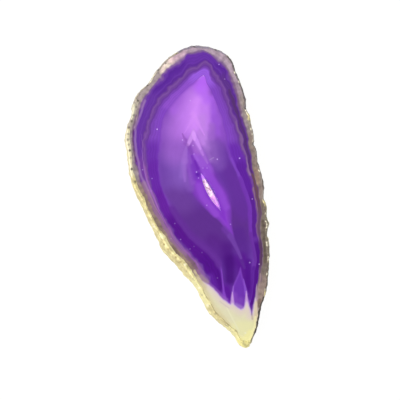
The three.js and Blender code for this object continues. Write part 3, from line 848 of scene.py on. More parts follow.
class StrokeBrush:
    """The node group that lays a soft line, kept to some bands, and the writer that uses it."""

    inputs = {
        "Position": "NodeSocketVector",
        "Band": "NodeSocketFloat",
        "Start": "NodeSocketVector",
        "Along": "NodeSocketVector",
        "Radius": "NodeSocketFloat",
        "Reach": "NodeSocketFloat",
        "Width": "NodeSocketFloat",
        "Swell": "NodeSocketFloat",
        "Lowest": "NodeSocketFloat",
        "Highest": "NodeSocketFloat",
        "Edge": "NodeSocketFloat",
    }

    def __init__(self) -> None:
        """Makes the node group."""
        self.group = bpy.data.node_groups.new("soft stroke", "ShaderNodeTree")
        for name, kind in self.inputs.items():
            self.group.interface.new_socket(name=name, in_out="INPUT", socket_type=kind)
        self.group.interface.new_socket(
            name="Cover", in_out="OUTPUT", socket_type="NodeSocketFloat"
        )
        nodes = Nodes(self.group)
        given = self.group.nodes.new("NodeGroupInput").outputs
        near = self.nearness(nodes, given)
        kept = self.kept(nodes, given)
        cover = nodes.math("MULTIPLY", near, kept)
        nodes.feed(self.group.nodes.new("NodeGroupOutput").inputs[0], cover)

    def nearness(self, nodes: Nodes, given: bpy.types.NodeOutputs) -> bpy.types.NodeSocket:
        """1 along the line and within its radius, down to 0 at its reach.

        Args:
            nodes: the writer of the group's nodes.
            given: what the group is given.

        Returns:
            The number, before the line is kept to its bands.
        """
        apart = nodes.vector("SUBTRACT", given["Position"], given["Start"]).outputs[0]
        reach = nodes.vector("DOT_PRODUCT", apart, given["Along"]).outputs["Value"]
        length = nodes.vector("DOT_PRODUCT", given["Along"], given["Along"]).outputs["Value"]
        share = nodes.math("MAXIMUM", nodes.math("DIVIDE", reach, length), 0.0)
        share = nodes.math("MINIMUM", share, 1.0)
        nearest = nodes.scaled(given["Along"], share)
        gap = nodes.vector("SUBTRACT", apart, nearest).outputs[0]
        distance = nodes.vector("LENGTH", gap).outputs["Value"]
        width = nodes.math("MULTIPLY_ADD", share, given["Swell"], given["Width"])
        distance = nodes.math("DIVIDE", distance, width)
        return nodes.fade(distance, given["Reach"], given["Radius"])

    def kept(self, nodes: Nodes, given: bpy.types.NodeOutputs) -> bpy.types.NodeSocket:
        """1 between the lowest and the highest band, with soft ends.

        Args:
            nodes: the writer of the group's nodes.
            given: what the group is given.

        Returns:
            A number from 0 to 1.
        """
        above = nodes.math("SUBTRACT", given["Band"], given["Lowest"])
        above = nodes.math("DIVIDE", above, given["Edge"])
        below = nodes.math("SUBTRACT", given["Highest"], given["Band"])
        below = nodes.math("DIVIDE", below, given["Edge"])
        return nodes.math("MULTIPLY", nodes.fade(above, -1, 1), nodes.fade(below, -1, 1))

    def cover(self, nodes: Nodes, place: Value, band: Value, veil: Veil) -> bpy.types.NodeSocket:
        """How much a veil covers.

        Args:
            nodes: the writer of the material's nodes.
            place: the place on the face, in millimetres.
            band: the place on the scale of bands.
            veil: the veil.

        Returns:
            A number from 0 to the veil's strength.
        """
        pixel = 1 / PHOTO.pixels_per_mm
        points = [PHOTO.point(*pixels) for pixels in veil.path]
        if len(points) == 1:
            points = points * 2
        widths = [float(width) for width in np.linspace(veil.taper, 1, len(points))]
        covers = []
        for index, (start, end) in enumerate(zip(points, points[1:])):
            stroke = nodes.tree.nodes.new("ShaderNodeGroup")
            stroke.node_tree = self.group
            values = {
                "Position": place,
                "Band": band,
                "Start": tuple(start),
                "Along": tuple(end - start),
                "Radius": veil.radius * pixel,
                "Reach": (veil.radius + veil.blur) * pixel,
                "Width": widths[index],
                "Swell": widths[index + 1] - widths[index],
                "Lowest": veil.bands[0],
                "Highest": veil.bands[1],
                "Edge": veil.edge,
            }
            for name, value in values.items():
                nodes.feed(stroke.inputs[name], value)
            covers.append(stroke.outputs[0])
        most = covers[0]
        for cover in covers[1:]:
            most = nodes.math("MAXIMUM", most, cover)
        return nodes.math("MULTIPLY", most, veil.strength)

    def lay(
        self, nodes: Nodes, place: Value, band: Value, colour: Value, veils: list[Veil]
    ) -> bpy.types.NodeSocket:
        """A colour with some veils laid over it, the first one lowest."""
        for veil in veils:
            colour = nodes.blend(self.cover(nodes, place, band, veil), colour, paint(veil.colour))
        return colour


@dataclass(frozen=True)
class GrowthBands:
    """The bands of the stone's growth: how they wander, their colours and their fine lines.

    Attributes:
        wander: the noise that moves the bands, with three reaches in bands.
        line_turn: how fast the fine lines follow each other, in radians for each band.
        line_patches: the noise that lets them come and go.
        ground: the brightness to which the lines, the clouds and the mottle are added.
    """

    wander: Cloud = Cloud(2.4, 1.2)
    inner_wander: float = 0.105
    outer_wander: float = 0.42
    rind_wander: float = 0.3
    outer_start: Span = (1.8, 3)
    rind_start: Span = (3.4, 4.2)
    line_turn: float = 36
    line_patches: Cloud = Cloud(3.0, 1)
    inner_lines: float = 0.012
    outer_lines: float = 0.09
    line_start: Span = (1.9, 2.3)
    ground: float = 0.95
    clouds: Cloud = Cloud(1.8, 4)
    cloudiness: float = 0.1
    mottle: Cloud = Cloud(1.2, 3)
    mottling: float = 1.3
    mottle_start: Span = (3.7, 4.3)

    def wandering(self, nodes: Nodes, flat: Value) -> bpy.types.NodeSocket:
        """The place on the scale of bands, with lines that wander a little."""
        band = nodes.attribute("band")
        shift = nodes.swing(flat, self.wander)
        outer = nodes.fade(band, *self.outer_start)
        reach = nodes.math("MULTIPLY_ADD", outer, self.outer_wander, self.inner_wander)
        rind = nodes.fade(band, *self.rind_start)
        reach = nodes.math("MULTIPLY_ADD", rind, self.rind_wander, reach)
        return nodes.math("MULTIPLY_ADD", shift, reach, band)

    def colour(self, nodes: Nodes, band: Value) -> bpy.types.NodeSocket:
        """The colour of each band."""
        ramp = nodes.add("ValToRGB", {0: nodes.math("DIVIDE", band, EDGE_BAND)})
        stops = ramp.color_ramp.elements
        while len(stops) < len(BAND_COLOURS):
            stops.new(1.0)
        for stop, (at, code) in zip(stops, BAND_COLOURS):
            stop.position = at / EDGE_BAND
            stop.color = paint(code)
        return ramp.outputs[0]

    def lined(
        self, nodes: Nodes, flat: Value, band: Value, colour: Value
    ) -> bpy.types.NodeSocket:
        """A colour with the fine lines of the growth, soft clouds and the rind's mottle."""
        lines = nodes.math("SINE", nodes.math("MULTIPLY", band, self.line_turn))
        patchy = nodes.math("MULTIPLY", lines, nodes.noise(flat, self.line_patches))
        outer = nodes.fade(band, *self.line_start)
        strength = nodes.math("MULTIPLY_ADD", outer, self.outer_lines, self.inner_lines)
        level = nodes.math("MULTIPLY_ADD", patchy, strength, self.ground)
        clouds = nodes.noise(flat, self.clouds)
        level = nodes.math("MULTIPLY_ADD", clouds, self.cloudiness, level)
        mottled = nodes.math("MULTIPLY", nodes.fade(band, *self.mottle_start), self.mottling)
        mottle = nodes.swing(flat, self.mottle)
        level = nodes.math("MULTIPLY_ADD", mottle, mottled, level)
        return nodes.scaled(colour, level)


@dataclass(frozen=True)
class DyeFront:
    """The end of the dye: a pale-edged flame in the heart, and the tip that it didn't reach.

    Its spans are depths in the flame or in the tip, in millimetres.

    Attributes:
        flame: the flame's colours, at its rim and in its middle.
        cream: the two colours of the bare stone, which the clouds mix.
        pinkish, lilac: its colours near the dye, and right beside it.
        rags: the noise that makes the front ragged, with its reach in millimetres.
    """

    flame: tuple[str, str] = ("8444c2", "7032b2")
    flame_rim: Span = (-0.1, 0.6)
    flame_edge: Span = (-0.3, 0.25)
    cream: tuple[str, str] = ("dfd8b2", "e8e4c0")
    clouds: Cloud = Cloud(1.4, 4)
    pinkish: str = "e2d2c8"
    pinkish_end: Span = (0.3, 2.4)
    lilac: str = "d9bfe0"
    lilac_end: Span = (0.0, 0.55)
    rags: Cloud = Cloud(0.8, 3)
    raggedness: float = 0.2
    tip_edge: Span = (-0.25, 0.25)

    def with_flame(self, nodes: Nodes, colour: Value) -> bpy.types.NodeSocket:
        """A colour with the pale-edged flame at the foot of the heart laid over it."""
        depth = nodes.attribute("spear")
        rim, middle = (paint(code) for code in self.flame)
        inside = nodes.blend(nodes.fade(depth, *self.flame_rim), rim, middle)
        return nodes.blend(nodes.fade(depth, *self.flame_edge), colour, inside)

    def tip_colour(self, nodes: Nodes, flat: Value) -> bpy.types.NodeSocket:
        """The colour of the undyed tip: lilac at the dye's front, then pinkish, then cream."""
        depth = nodes.attribute("undyed")
        dark, light = (paint(code) for code in self.cream)
        cloud = nodes.blend(nodes.noise(flat, self.clouds), dark, light)
        bare = nodes.blend(nodes.fade(depth, *self.pinkish_end), paint(self.pinkish), cloud)
        return nodes.blend(nodes.fade(depth, *self.lilac_end), paint(self.lilac), bare)

    def tip_cover(self, nodes: Nodes, flat: Value) -> bpy.types.NodeSocket:
        """Where the dye didn't reach, from 0 to 1."""
        rags = nodes.swing(flat, self.rags)
        depth = nodes.math("MULTIPLY_ADD", rags, self.raggedness, nodes.attribute("undyed"))
        return nodes.fade(depth, *self.tip_edge)


@dataclass(frozen=True)
class RindPits:
    """Small dark pits in the rind beside the plating.

    Attributes:
        near_edge: how near the edge they open, in millimetres.
        spacing: how far apart their middles are, in millimetres.
        spot: how far a pit reaches, in spacings.
        patches: the noise that lets them come and go.
        dyed: how far from the undyed tip they stay, in depths in it.
    """

    near_edge: Span = (0.9, 0.3)
    spacing: float = 0.8
    spot: Span = (0.4, 0.15)
    patches: Cloud = Cloud(2.0)
    patch_start: Span = (0.46, 0.6)
    dyed: Span = (0.5, -1)
    strength: float = 0.6

    def cover(self, nodes: Nodes, flat: Value) -> bpy.types.NodeSocket:
        """Where the pits are, from 0 to their strength."""
        near = nodes.fade(nodes.attribute("inset"), *self.near_edge)
        spots = nodes.fade(nodes.cells(flat, self.spacing), *self.spot)
        patches = nodes.fade(nodes.noise(flat, self.patches), *self.patch_start)
        spots = nodes.math("MULTIPLY", spots, patches)
        dyed = nodes.fade(nodes.attribute("undyed"), *self.dyed)
        pits = nodes.math("MULTIPLY", nodes.math("MULTIPLY", near, spots), dyed)
        return nodes.math("MULTIPLY", pits, self.strength)


@dataclass(frozen=True)
class AgateFinish:
    """Polished chalcedony with dyed growth bands, an undyed tip and a porous rind.

    Attributes:
        waver: the noise by which the lines outside the heart waver, with its reach in millimetres.
        hollow_radius, speck_radius: the radius of a hollow and of a pale speck, in pixels.
        smears: the noise that makes the polish rougher.
        glow: how strongly the stone at the slit glows, as painted light that stands for light through
            the stone.
        waves: the noise of the polish's faint waves, with their height in millimetres.
        hollow_depth: the depth of a hollow, in heights of those waves.
    """

    bands: GrowthBands = GrowthBands()
    front: DyeFront = DyeFront()
    pits: RindPits = RindPits()
    waver: Cloud = Cloud(1 / 0.42, 1.0)
    waver_reach: float = 0.55
    hollow: str = "4a3d36"
    hollow_radius: float = 1.1
    speck: str = "dcb4fe"
    speck_radius: float = 0.62
    index: float = 1.54
    roughness: float = 0.1
    rind_roughness: float = 0.32
    pit_roughness: float = 0.7
    smears: Cloud = Cloud(0.5, 4)
    smearing: float = 0.05
    glow: float = 0.12
    glow_end: Span = (0.2, 0.0)
    waves: Cloud = Cloud(0.9)
    wave_height: float = 0.01
    hollow_depth: float = 3

    def material(self) -> bpy.types.Material:
        """The stone's material, which reads the fields that the stone's mesh holds."""
        material, nodes, surface = new_material("polished dyed agate")
        place = nodes.millimetres()
        flat = nodes.from_above(place)
        band = self.bands.wandering(nodes, flat)
        colour = self.stone_colour(nodes, flat, band)
        hollows = nodes.dots(flat, RIND_HOLLOWS, self.hollow_radius)
        hollows = nodes.math("MAXIMUM", hollows, self.pits.cover(nodes, flat))
        colour = nodes.blend(hollows, colour, paint(self.hollow))
        specks = nodes.dots(flat, SPECKS, self.speck_radius)
        colour = nodes.blend(specks, colour, paint(self.speck))
        nodes.feed(surface.inputs["Base Color"], colour)
        nodes.feed(surface.inputs["Roughness"], self.polish(nodes, place, band, hollows))
        surface.inputs["IOR"].default_value = self.index
        # Painted light: the stone glows a little beside the slit
        nodes.feed(surface.inputs["Emission Color"], colour)
        painted_slit_glow = nodes.math("MULTIPLY", nodes.fade(band, *self.glow_end), self.glow)
        nodes.feed(surface.inputs["Emission Strength"], painted_slit_glow)
        waves = nodes.noise(place, self.waves)
        relief = nodes.math("MULTIPLY_ADD", hollows, -self.hollow_depth, waves)
        nodes.feed(surface.inputs["Normal"], nodes.bump(relief, self.wave_height))
        return material

    def stone_colour(self, nodes: Nodes, flat: Value, band: Value) -> bpy.types.NodeSocket:
        """The colour of the stone itself, without its pits, hollows and specks."""
        brush = StrokeBrush()
        colour = self.bands.colour(nodes, band)
        colour = brush.lay(nodes, flat, band, colour, [*HEART_VEILS, *CORE_VEILS])
        shift = nodes.level_shift(flat, self.waver, self.waver_reach)
        wavering = nodes.vector("ADD", flat, shift).outputs[0]
        outer_veils = [*OUTER_VEILS, *LINE_VEILS, *RIND_VEILS]
        colour = brush.lay(nodes, wavering, band, colour, outer_veils)
        colour = self.bands.lined(nodes, flat, band, colour)
        colour = self.front.with_flame(nodes, colour)
        colour = brush.lay(nodes, flat, band, colour, FLAME_VEILS)
        tip = brush.lay(nodes, flat, band, self.front.tip_colour(nodes, flat), TIP_VEILS)
        return nodes.blend(self.front.tip_cover(nodes, flat), colour, tip)

    def polish(self, nodes: Nodes, place: Value, band: Value, pits: Value) -> bpy.types.NodeSocket:
        """The stone's roughness: polished, duller in the rind and in its pits."""
        rind = nodes.fade(band, RIND_BAND, EDGE_BAND)
        span = self.rind_roughness - self.roughness
        rough = nodes.math("MULTIPLY_ADD", rind, span, self.roughness)
        smears = nodes.noise(place, self.smears)
        rough = nodes.math("MULTIPLY_ADD", smears, self.smearing, rough)
        return nodes.math("MAXIMUM", rough, nodes.math("MULTIPLY", pits, self.pit_roughness))


@dataclass(frozen=True)
class PlatingFinish:
    """Pale gold over a lumpy rind, which shows through where the gold is thin, with painted light and
    shade laid into its colour.

    Attributes:
        mottle: the noise that mixes the gold's three colours, from a shaded olive to a painted
            highlight shine.
        ragged_cover: the noise that makes the thin and shaded places ragged, with their least cover and
            its swing.
        thin_and_shaded_heights: the heights over which the plating turns thin and takes painted shade,
            in millimetres.
        thin_and_shaded_line: the noise that makes the start of the thin and shaded part ragged, with
            its swing.
        sloping: the slopes over which the wall begins to show from above.
        rim: the heights over which the wall's top does, in millimetres.
        drift: the noise that moves marks on the steep wall, with its reach in millimetres.
        hollow_radius, glint_radius: the radius of a spot of painted shade and of a painted glint, in
            pixels.
        grain_height: the height of the fine grain, in heights of the lumps.
        lump_size, lump_height: the size of the small lumps, in millimetres.
    """

    # The gold's colours: a shaded olive, the gold, and a painted highlight shine, mottled at random
    shaded_olive: str = "d6c890"
    gold: str = "e9dba0"
    highlight_shine: str = "fbf2b6"
    mottle: Cloud = Cloud(1.5, 3)
    gold_start: Span = (0.38, 0.55)
    highlight_shine_start: Span = (0.55, 0.68)
    ragged_cover: Cloud = Cloud(0.5, 4)
    ragged_least: float = 0.55
    ragged_swing: float = 0.9
    thin_and_shaded_heights: Span = (1.6, 3.4)
    thin_and_shaded_line: Cloud = Cloud(1.6, 3)
    thin_and_shaded_swing: float = 2.4
    sloping: Span = (0.12, 0.35)
    rim: Span = (4.0, 4.8)
    drift: Cloud = Cloud(1 / 0.45)
    drift_reach: float = 10
    # Painted shade: the colour laid in the valleys between the knobs
    valley_shade: str = "6a5a44"
    valley_shade_share: float = 0.45
    # Painted shade: the colour of the dark spots in the plating's hollows
    hollow: str = "4b4040"
    hollow_radius: float = 1.2
    # Painted glints: the colour of the bright spots on the knobs
    knob: str = "fff6d8"
    glint_radius: float = 1.2
    metal: float = 0.38
    roughness: float = 0.42
    grain: Cloud = Cloud(0.22, 5)
    grain_roughness: float = 0.2
    grain_height: float = 0.15
    lump_size: float = 1.0
    lump_height: float = 0.035

    def material(self) -> bpy.types.Material:
        """The plating's material, which reads the painted valley shade and slopes that its mesh holds.
        """
        material, nodes, surface = new_material("pale gold plating")
        place = nodes.millimetres()
        flat = nodes.from_above(place)
        height = nodes.add("SeparateXYZ", {0: place}).outputs["Z"]
        brush = StrokeBrush()
        shown = self.shown_from_above(nodes, height)
        colour, bare = self.thin_and_shaded_gold(nodes, brush, place, height, shown)
        # Painted light: the thick plating brightened on its lit side, with highlight lines, kept to
        # where it shows from above
        thick_and_lit = brush.lay(nodes, flat, 0.0, colour, THICK_AND_LIT_PLATING)
        colour = nodes.blend(shown, colour, thick_and_lit)
        # Painted shade in the valleys between the knobs, which also dulls the metal
        valley_shade = nodes.attribute("valley_shade")
        pits = nodes.math("MULTIPLY", valley_shade, self.valley_shade_share)
        colour = nodes.blend(pits, colour, paint(self.valley_shade))
        # Painted shade: dark spots in the plating's hollows, which also dull the metal
        hollows = nodes.dots(flat, PLATING_SHADE_SPOTS, self.hollow_radius)
        hollows = nodes.math("MULTIPLY", hollows, shown)
        colour = nodes.blend(hollows, colour, paint(self.hollow))
        # Painted glints: bright spots on the knobs, kept to where the plating shows from above
        knobs = nodes.dots(flat, PLATING_GLINTS, self.glint_radius)
        knobs = nodes.math("MULTIPLY", knobs, shown)
        colour = nodes.blend(knobs, colour, paint(self.knob))
        nodes.feed(surface.inputs["Base Color"], colour)
        dull = nodes.math("MAXIMUM", nodes.math("MAXIMUM", bare, hollows), valley_shade)
        metallic = nodes.math("MULTIPLY_ADD", dull, -self.metal, self.metal)
        nodes.feed(surface.inputs["Metallic"], metallic)
        grain = nodes.noise(place, self.grain)
        rough = nodes.math("MULTIPLY_ADD", grain, self.grain_roughness, self.roughness)
        nodes.feed(surface.inputs["Roughness"], rough)
        lumps = nodes.math("SUBTRACT", 1.0, nodes.cells(place, self.lump_size, "SMOOTH_F1"))
        relief = nodes.math("MULTIPLY_ADD", grain, self.grain_height, lumps)
        nodes.feed(surface.inputs["Normal"], nodes.bump(relief, self.lump_height))
        return material

    def whole_gold(self, nodes: Nodes, place: Value) -> bpy.types.NodeSocket:
        """The colour of the gold where it's whole, mottled at random from a shaded olive to a painted
        highlight shine.
        """
        mottle = nodes.noise(place, self.mottle)
        share = nodes.fade(mottle, *self.gold_start)
        gold = nodes.blend(share, paint(self.shaded_olive), paint(self.gold))
        return nodes.blend(nodes.fade(mottle, *self.highlight_shine_start), gold, paint(self.highlight_shine))

    def thin_and_shaded_gold(
        self, nodes: Nodes, brush: StrokeBrush, place: Value, height: Value, shown: Value
    ) -> tuple[bpy.types.NodeSocket, Value]:
        """The gold with the rind showing through where it's thin, and painted shade on its right side.

        Args:
            nodes: the writer of the material's nodes.
            brush: the brush that lays the thin and shaded places.
            place: the place on the plating, in millimetres.
            height: its height, in millimetres.
            shown: 1 where the plating shows from above.

        Returns:
            The colour, and how much the thin places and the painted shade cover, from 0 to 1.
        """
        colour, bare = self.whole_gold(nodes, place), 0.0
        spots = nodes.noise(place, self.ragged_cover)
        ragged = nodes.math("MULTIPLY_ADD", spots, self.ragged_swing, self.ragged_least)
        upper = self.upper_wall(nodes, place, height)
        drifting = self.drifting_place(nodes, place, shown)
        # Thin plating, and painted shade darkening the right side
        for veil in THIN_PLATING_AND_SHADE:
            cover = nodes.math("MULTIPLY", brush.cover(nodes, drifting, 0.0, veil), ragged)
            cover = nodes.math("MULTIPLY", nodes.math("MINIMUM", cover, 1.0), upper)
            colour = nodes.blend(cover, colour, paint(veil.colour))
            bare = nodes.math("MAXIMUM", bare, cover)
        return colour, bare

    def upper_wall(self, nodes: Nodes, place: Value, height: Value) -> bpy.types.NodeSocket:
        """1 on the upper wall and the lap, where the plating is thin and painted shade is laid, down to
        0 at the foot.
        """
        line = nodes.noise(place, self.thin_and_shaded_line)
        ragged = nodes.math("MULTIPLY_ADD", line, self.thin_and_shaded_swing, -self.thin_and_shaded_swing / 2)
        return nodes.fade(nodes.math("ADD", height, ragged), *self.thin_and_shaded_heights)

    def shown_from_above(self, nodes: Nodes, height: Value) -> bpy.types.NodeSocket:
        """1 where the plating shows from above: where it slopes, and at the wall's top."""
        sloping = nodes.fade(nodes.attribute("slope"), *self.sloping)
        return nodes.math("MAXIMUM", sloping, nodes.fade(height, *self.rim))

    def drifting_place(self, nodes: Nodes, place: Value, shown: Value) -> bpy.types.NodeSocket:
        """The place without its height, moved in blotches down the steep wall."""
        steep = nodes.math("SUBTRACT", 1.0, shown)
        shift = nodes.level_shift(place, self.drift, self.drift_reach)
        return nodes.vector("ADD", nodes.from_above(place), nodes.scaled(shift, steep)).outputs[0]


@dataclass(frozen=True)
class QuartzFinish:
    """Small quartz crystals, milky and pinkish, with a painted glow that stands for light through them
    from the pale stone around.

    Attributes:
        glow: how strongly the crystals glow, as painted light.
        frost: the noise that dulls their faces.
        striae: the noise of the fine marks on them, with their height in millimetres.
    """

    milk: str = "ffeef0"
    tint: str = "f4d6ee"
    clouds: Cloud = Cloud(0.8, 3)
    milk_start: Span = (0.35, 0.6)
    glow: float = 0.36
    index: float = 1.544
    roughness: float = 0.14
    frost: Cloud = Cloud(0.3, 3)
    frosting: float = 0.12
    striae: Cloud = Cloud(0.12)
    stria_height: float = 0.01

    def material(self) -> bpy.types.Material:
        """The crystals' material."""
        material, nodes, surface = new_material("pinkish quartz crystals")
        place = nodes.millimetres()
        share = nodes.fade(nodes.noise(place, self.clouds), *self.milk_start)
        milky = nodes.blend(share, paint(self.tint), paint(self.milk))
        colour = StrokeBrush().lay(nodes, nodes.from_above(place), 0.0, milky, DRUSE_VEILS)
        nodes.feed(surface.inputs["Base Color"], colour)
        # Painted light: the crystals glow in their own colour
        nodes.feed(surface.inputs["Emission Color"], colour)
        surface.inputs["Emission Strength"].default_value = self.glow
        frost = nodes.noise(place, self.frost)
        rough = nodes.math("MULTIPLY_ADD", frost, self.frosting, self.roughness)
        nodes.feed(surface.inputs["Roughness"], rough)
        surface.inputs["IOR"].default_value = self.index
        striae = nodes.noise(place, self.striae)
        nodes.feed(surface.inputs["Normal"], nodes.bump(striae, self.stria_height))
        return material


@dataclass(frozen=True)
class FloorFinish:
    """A plain white floor that lights itself a little, so that shadows stay faint."""

    white: str = "ffffff"
    grey: float = 0.08
    roughness: float = 0.9
    glow: float = 0.96

    def material(self) -> bpy.types.Material:
        """The floor's material."""
        material, _, surface = new_material("white floor")
        surface.inputs["Base Color"].default_value = (self.grey, self.grey, self.grey, 1.0)
        surface.inputs["Roughness"].default_value = self.roughness
        surface.inputs["Specular IOR Level"].default_value = 0.0
        surface.inputs["Emission Color"].default_value = paint(self.white)
        surface.inputs["Emission Strength"].default_value = self.glow
        return material


class RingMesh:
    """A closed surface that grows ring by ring from a circle of points.

    Attributes:
        seam: how near each other two points are that become one where it closes, in millimetres.
    """

    seam: float = 0.0005

    def __init__(self, count: int) -> None:
        """Starts a mesh whose rings have a number of points."""
        self.bm = bmesh.new()
        self.step = self.bm.verts.layers.int.new("step")
        self.band = self.bm.verts.layers.float.new("band")
        self.first = bmesh.ops.create_circle(self.bm, segments=count, radius=1)["verts"]
        for index, vert in enumerate(self.first):
            vert[self.step] = index
        self.last = self.first
        self.edges = list(self.bm.edges)
        self.rings = 0

    def grow(self, ring: np.ndarray, height: float | np.ndarray, band: float = 0.0) -> None:
        """Adds a ring.

        Args:
            ring: the ring's points in millimetres, one a row.
            height: the ring's height, or that of each of its points, in millimetres.
            band: its place on the scale of bands.
        """
        if self.rings:
            made = bmesh.ops.extrude_edge_only(self.bm, edges=self.edges)["geom"]
            self.last = [item for item in made if isinstance(item, bmesh.types.BMVert)]
            fresh = set(self.last)
            self.edges = [
                item
                for item in made
                if isinstance(item, bmesh.types.BMEdge) and fresh.issuperset(item.verts)
            ]
        heights = np.broadcast_to(height, len(ring))
        for vert in self.last:
            index = vert[self.step]
            vert.co = (ring[index][0] * MM, ring[index][1] * MM, heights[index] * MM)
            vert[self.band] = band
        self.rings += 1

    def close(self) -> None:
        """Joins the last ring, which lies on the first one, to it, and turns the faces out."""
        bmesh.ops.remove_doubles(self.bm, verts=[*self.first, *self.last], dist=self.seam * MM)
        bmesh.ops.recalc_face_normals(self.bm, faces=self.bm.faces)

    def add_field(self, name: str, values: np.ndarray) -> None:
        """Gives each point of the mesh a number that its material reads."""
        layer = self.bm.verts.layers.float.new(name)
        for vert, value in zip(self.bm.verts, values):
            vert[layer] = value

    def places(self) -> np.ndarray:
        """Each point of the mesh in millimetres, one a row."""
        return np.array([vert.co for vert in self.bm.verts]) / MM

    def steps(self) -> np.ndarray:
        """Each point's number in its ring."""
        return np.array([vert[self.step] for vert in self.bm.verts])


def finish_piece(name: str, bm: bmesh.types.BMesh, sharp: float = 30) -> bpy.types.Object:
    """Turns a mesh under construction into an object.

    Args:
        name: the object's name.
        bm: the mesh, which is freed.
        sharp: the angle in degrees above which an edge between faces stays sharp.

    Returns:
        The object, linked to the scene.
    """
    for face in bm.faces:
        face.smooth = True
    for edge in bm.edges:
        edge.smooth = edge.calc_face_angle(0.0) < math.radians(sharp)
    mesh = bpy.data.meshes.new(name)
    bm.to_mesh(mesh)
    bm.free()
    piece = bpy.data.objects.new(name, mesh)
    bpy.context.scene.collection.objects.link(piece)
    log.info("%s: %d faces", name, len(mesh.polygons))
    return piece


def dress(piece: bpy.types.Object, material: bpy.types.Material, node: str) -> None:
    """Gives a piece its material and its place in the frame.

    Args:
        piece: the piece.
        material: its material.
        node: the CAD node that it stands for.
    """
    piece.data.materials.append(material)
    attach(piece, BODY)
    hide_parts(node)


class Face(Enum):
    """The two sawn faces, with their share of the rings between two growth lines."""

    FRONT = 1.0
    BACK = 0.2


@dataclass
class Stone:
    """The slice of agate, from the slit over both faces to the rounded wall.

    Attributes:
        half: how many steps each of a ring's two sides has.
        rows: how many rings the front has between each growth line and the next.
        hair: how far inside the two faces the outlines are cut, in millimetres.
        rounding_middle: how deep the middle of the slit's rounding is, as a share of it.
        wall_heights: the heights of the wall's rings, in millimetres.
        rind_limit: how near the edge the rind may begin on the back, as a share.
        sharp: the angle between faces above which an edge stays sharp, in degrees.
    """

    node: str = "agate_slice"
    half: int = 280
    rows: tuple[int, ...] = (12, 50, 20, 18, 12)
    hair: float = 0.002
    slit_rounding: float = 0.05
    rounding_middle: float = 0.3
    wall_heights: tuple[float, ...] = (4.4, 3.7, 3.0, 2.3, 1.75, 1.2, 0.6, 0.25, 0.08)
    rind_limit: float = 0.9
    sharp: float = 50

    def __post_init__(self) -> None:
        """Reads the stone's thickness and its outlines on both faces from the frame."""
        low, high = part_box(self.node)
        self.bottom, self.top = low.z / MM, high.z / MM
        outer, slit = level_outlines(self.node, self.top - self.hair)
        sole = level_outlines(self.node, self.bottom + self.hair)[0]
        self.edge = outline_ring(outer, self.half)
        self.slit = outline_ring(slit, self.half)
        self.sole = outline_ring(sole, self.half)

    def growth_rings(self, face: Face) -> list[np.ndarray]:
        """The rings of the six growth lines on one face, from the slit to the edge."""
        inner = [band.ring(self.half) for band in (CORE, HEART, MAUVE, RIND)]
        if face is Face.FRONT:
            return [self.slit, *inner, self.edge]
        mauve, rind = inner[2:]
        reach = np.linalg.norm(rind - mauve, axis=1) / np.linalg.norm(self.edge - mauve, axis=1)
        reach = np.clip(reach, 0, self.rind_limit)
        inner[-1] = mauve + (self.sole - mauve) * reach[:, None]
        return [self.slit, *inner, self.sole]

    def face_rows(self, face: Face) -> list[tuple[np.ndarray, float]]:
        """The rings of one face with their bands, from the slit to the edge."""
        lines = self.growth_rings(face)
        result = []
        for band, count in enumerate(self.rows):
            count = max(int(count * face.value), 2)
            for share in np.arange(count) / count:
                ring = lines[band] + (lines[band + 1] - lines[band]) * share
                result.append((ring, band + share))
        return [*result, (lines[-1], float(EDGE_BAND))]

    def build(self) -> bpy.types.Object:
        """Makes the stone."""
        mesh = RingMesh(2 * self.half)
        out = outward(self.slit)
        front = self.face_rows(Face.FRONT)
        back = self.face_rows(Face.BACK)
        middle = self.slit_rounding * self.rounding_middle
        mesh.grow(self.slit, self.top - self.slit_rounding)
        mesh.grow(self.slit + out * middle, self.top - middle)
        mesh.grow(self.slit + out * self.slit_rounding, self.top)
        for ring, band in front[1:]:
            mesh.grow(ring, self.top, band)
        for height in self.wall_heights:
            ring = outline_ring(level_outlines(self.node, height)[0], self.half)
            mesh.grow(ring, height, EDGE_BAND)
        for ring, band in reversed(back[1:]):
            mesh.grow(ring, self.bottom, band)
        mesh.grow(self.slit + out * self.slit_rounding, self.bottom)
        mesh.grow(self.slit, self.bottom + self.slit_rounding)
        mesh.grow(self.slit, self.top - self.slit_rounding)
        mesh.close()
        self.add_fields(mesh)
        return finish_piece("banded_agate", mesh.bm, self.sharp)

    def add_fields(self, mesh: RingMesh) -> None:
        """Gives the mesh its depths in the undyed tip, the spearhead and from the edge."""
        flat = mesh.places()[:, :2]
        mesh.add_field("undyed", UNDYED.depth(flat))
        mesh.add_field("spear", SPEARHEAD.depth(flat))
        mesh.add_field("inset", np.linalg.norm(flat - self.edge[mesh.steps()], axis=1))


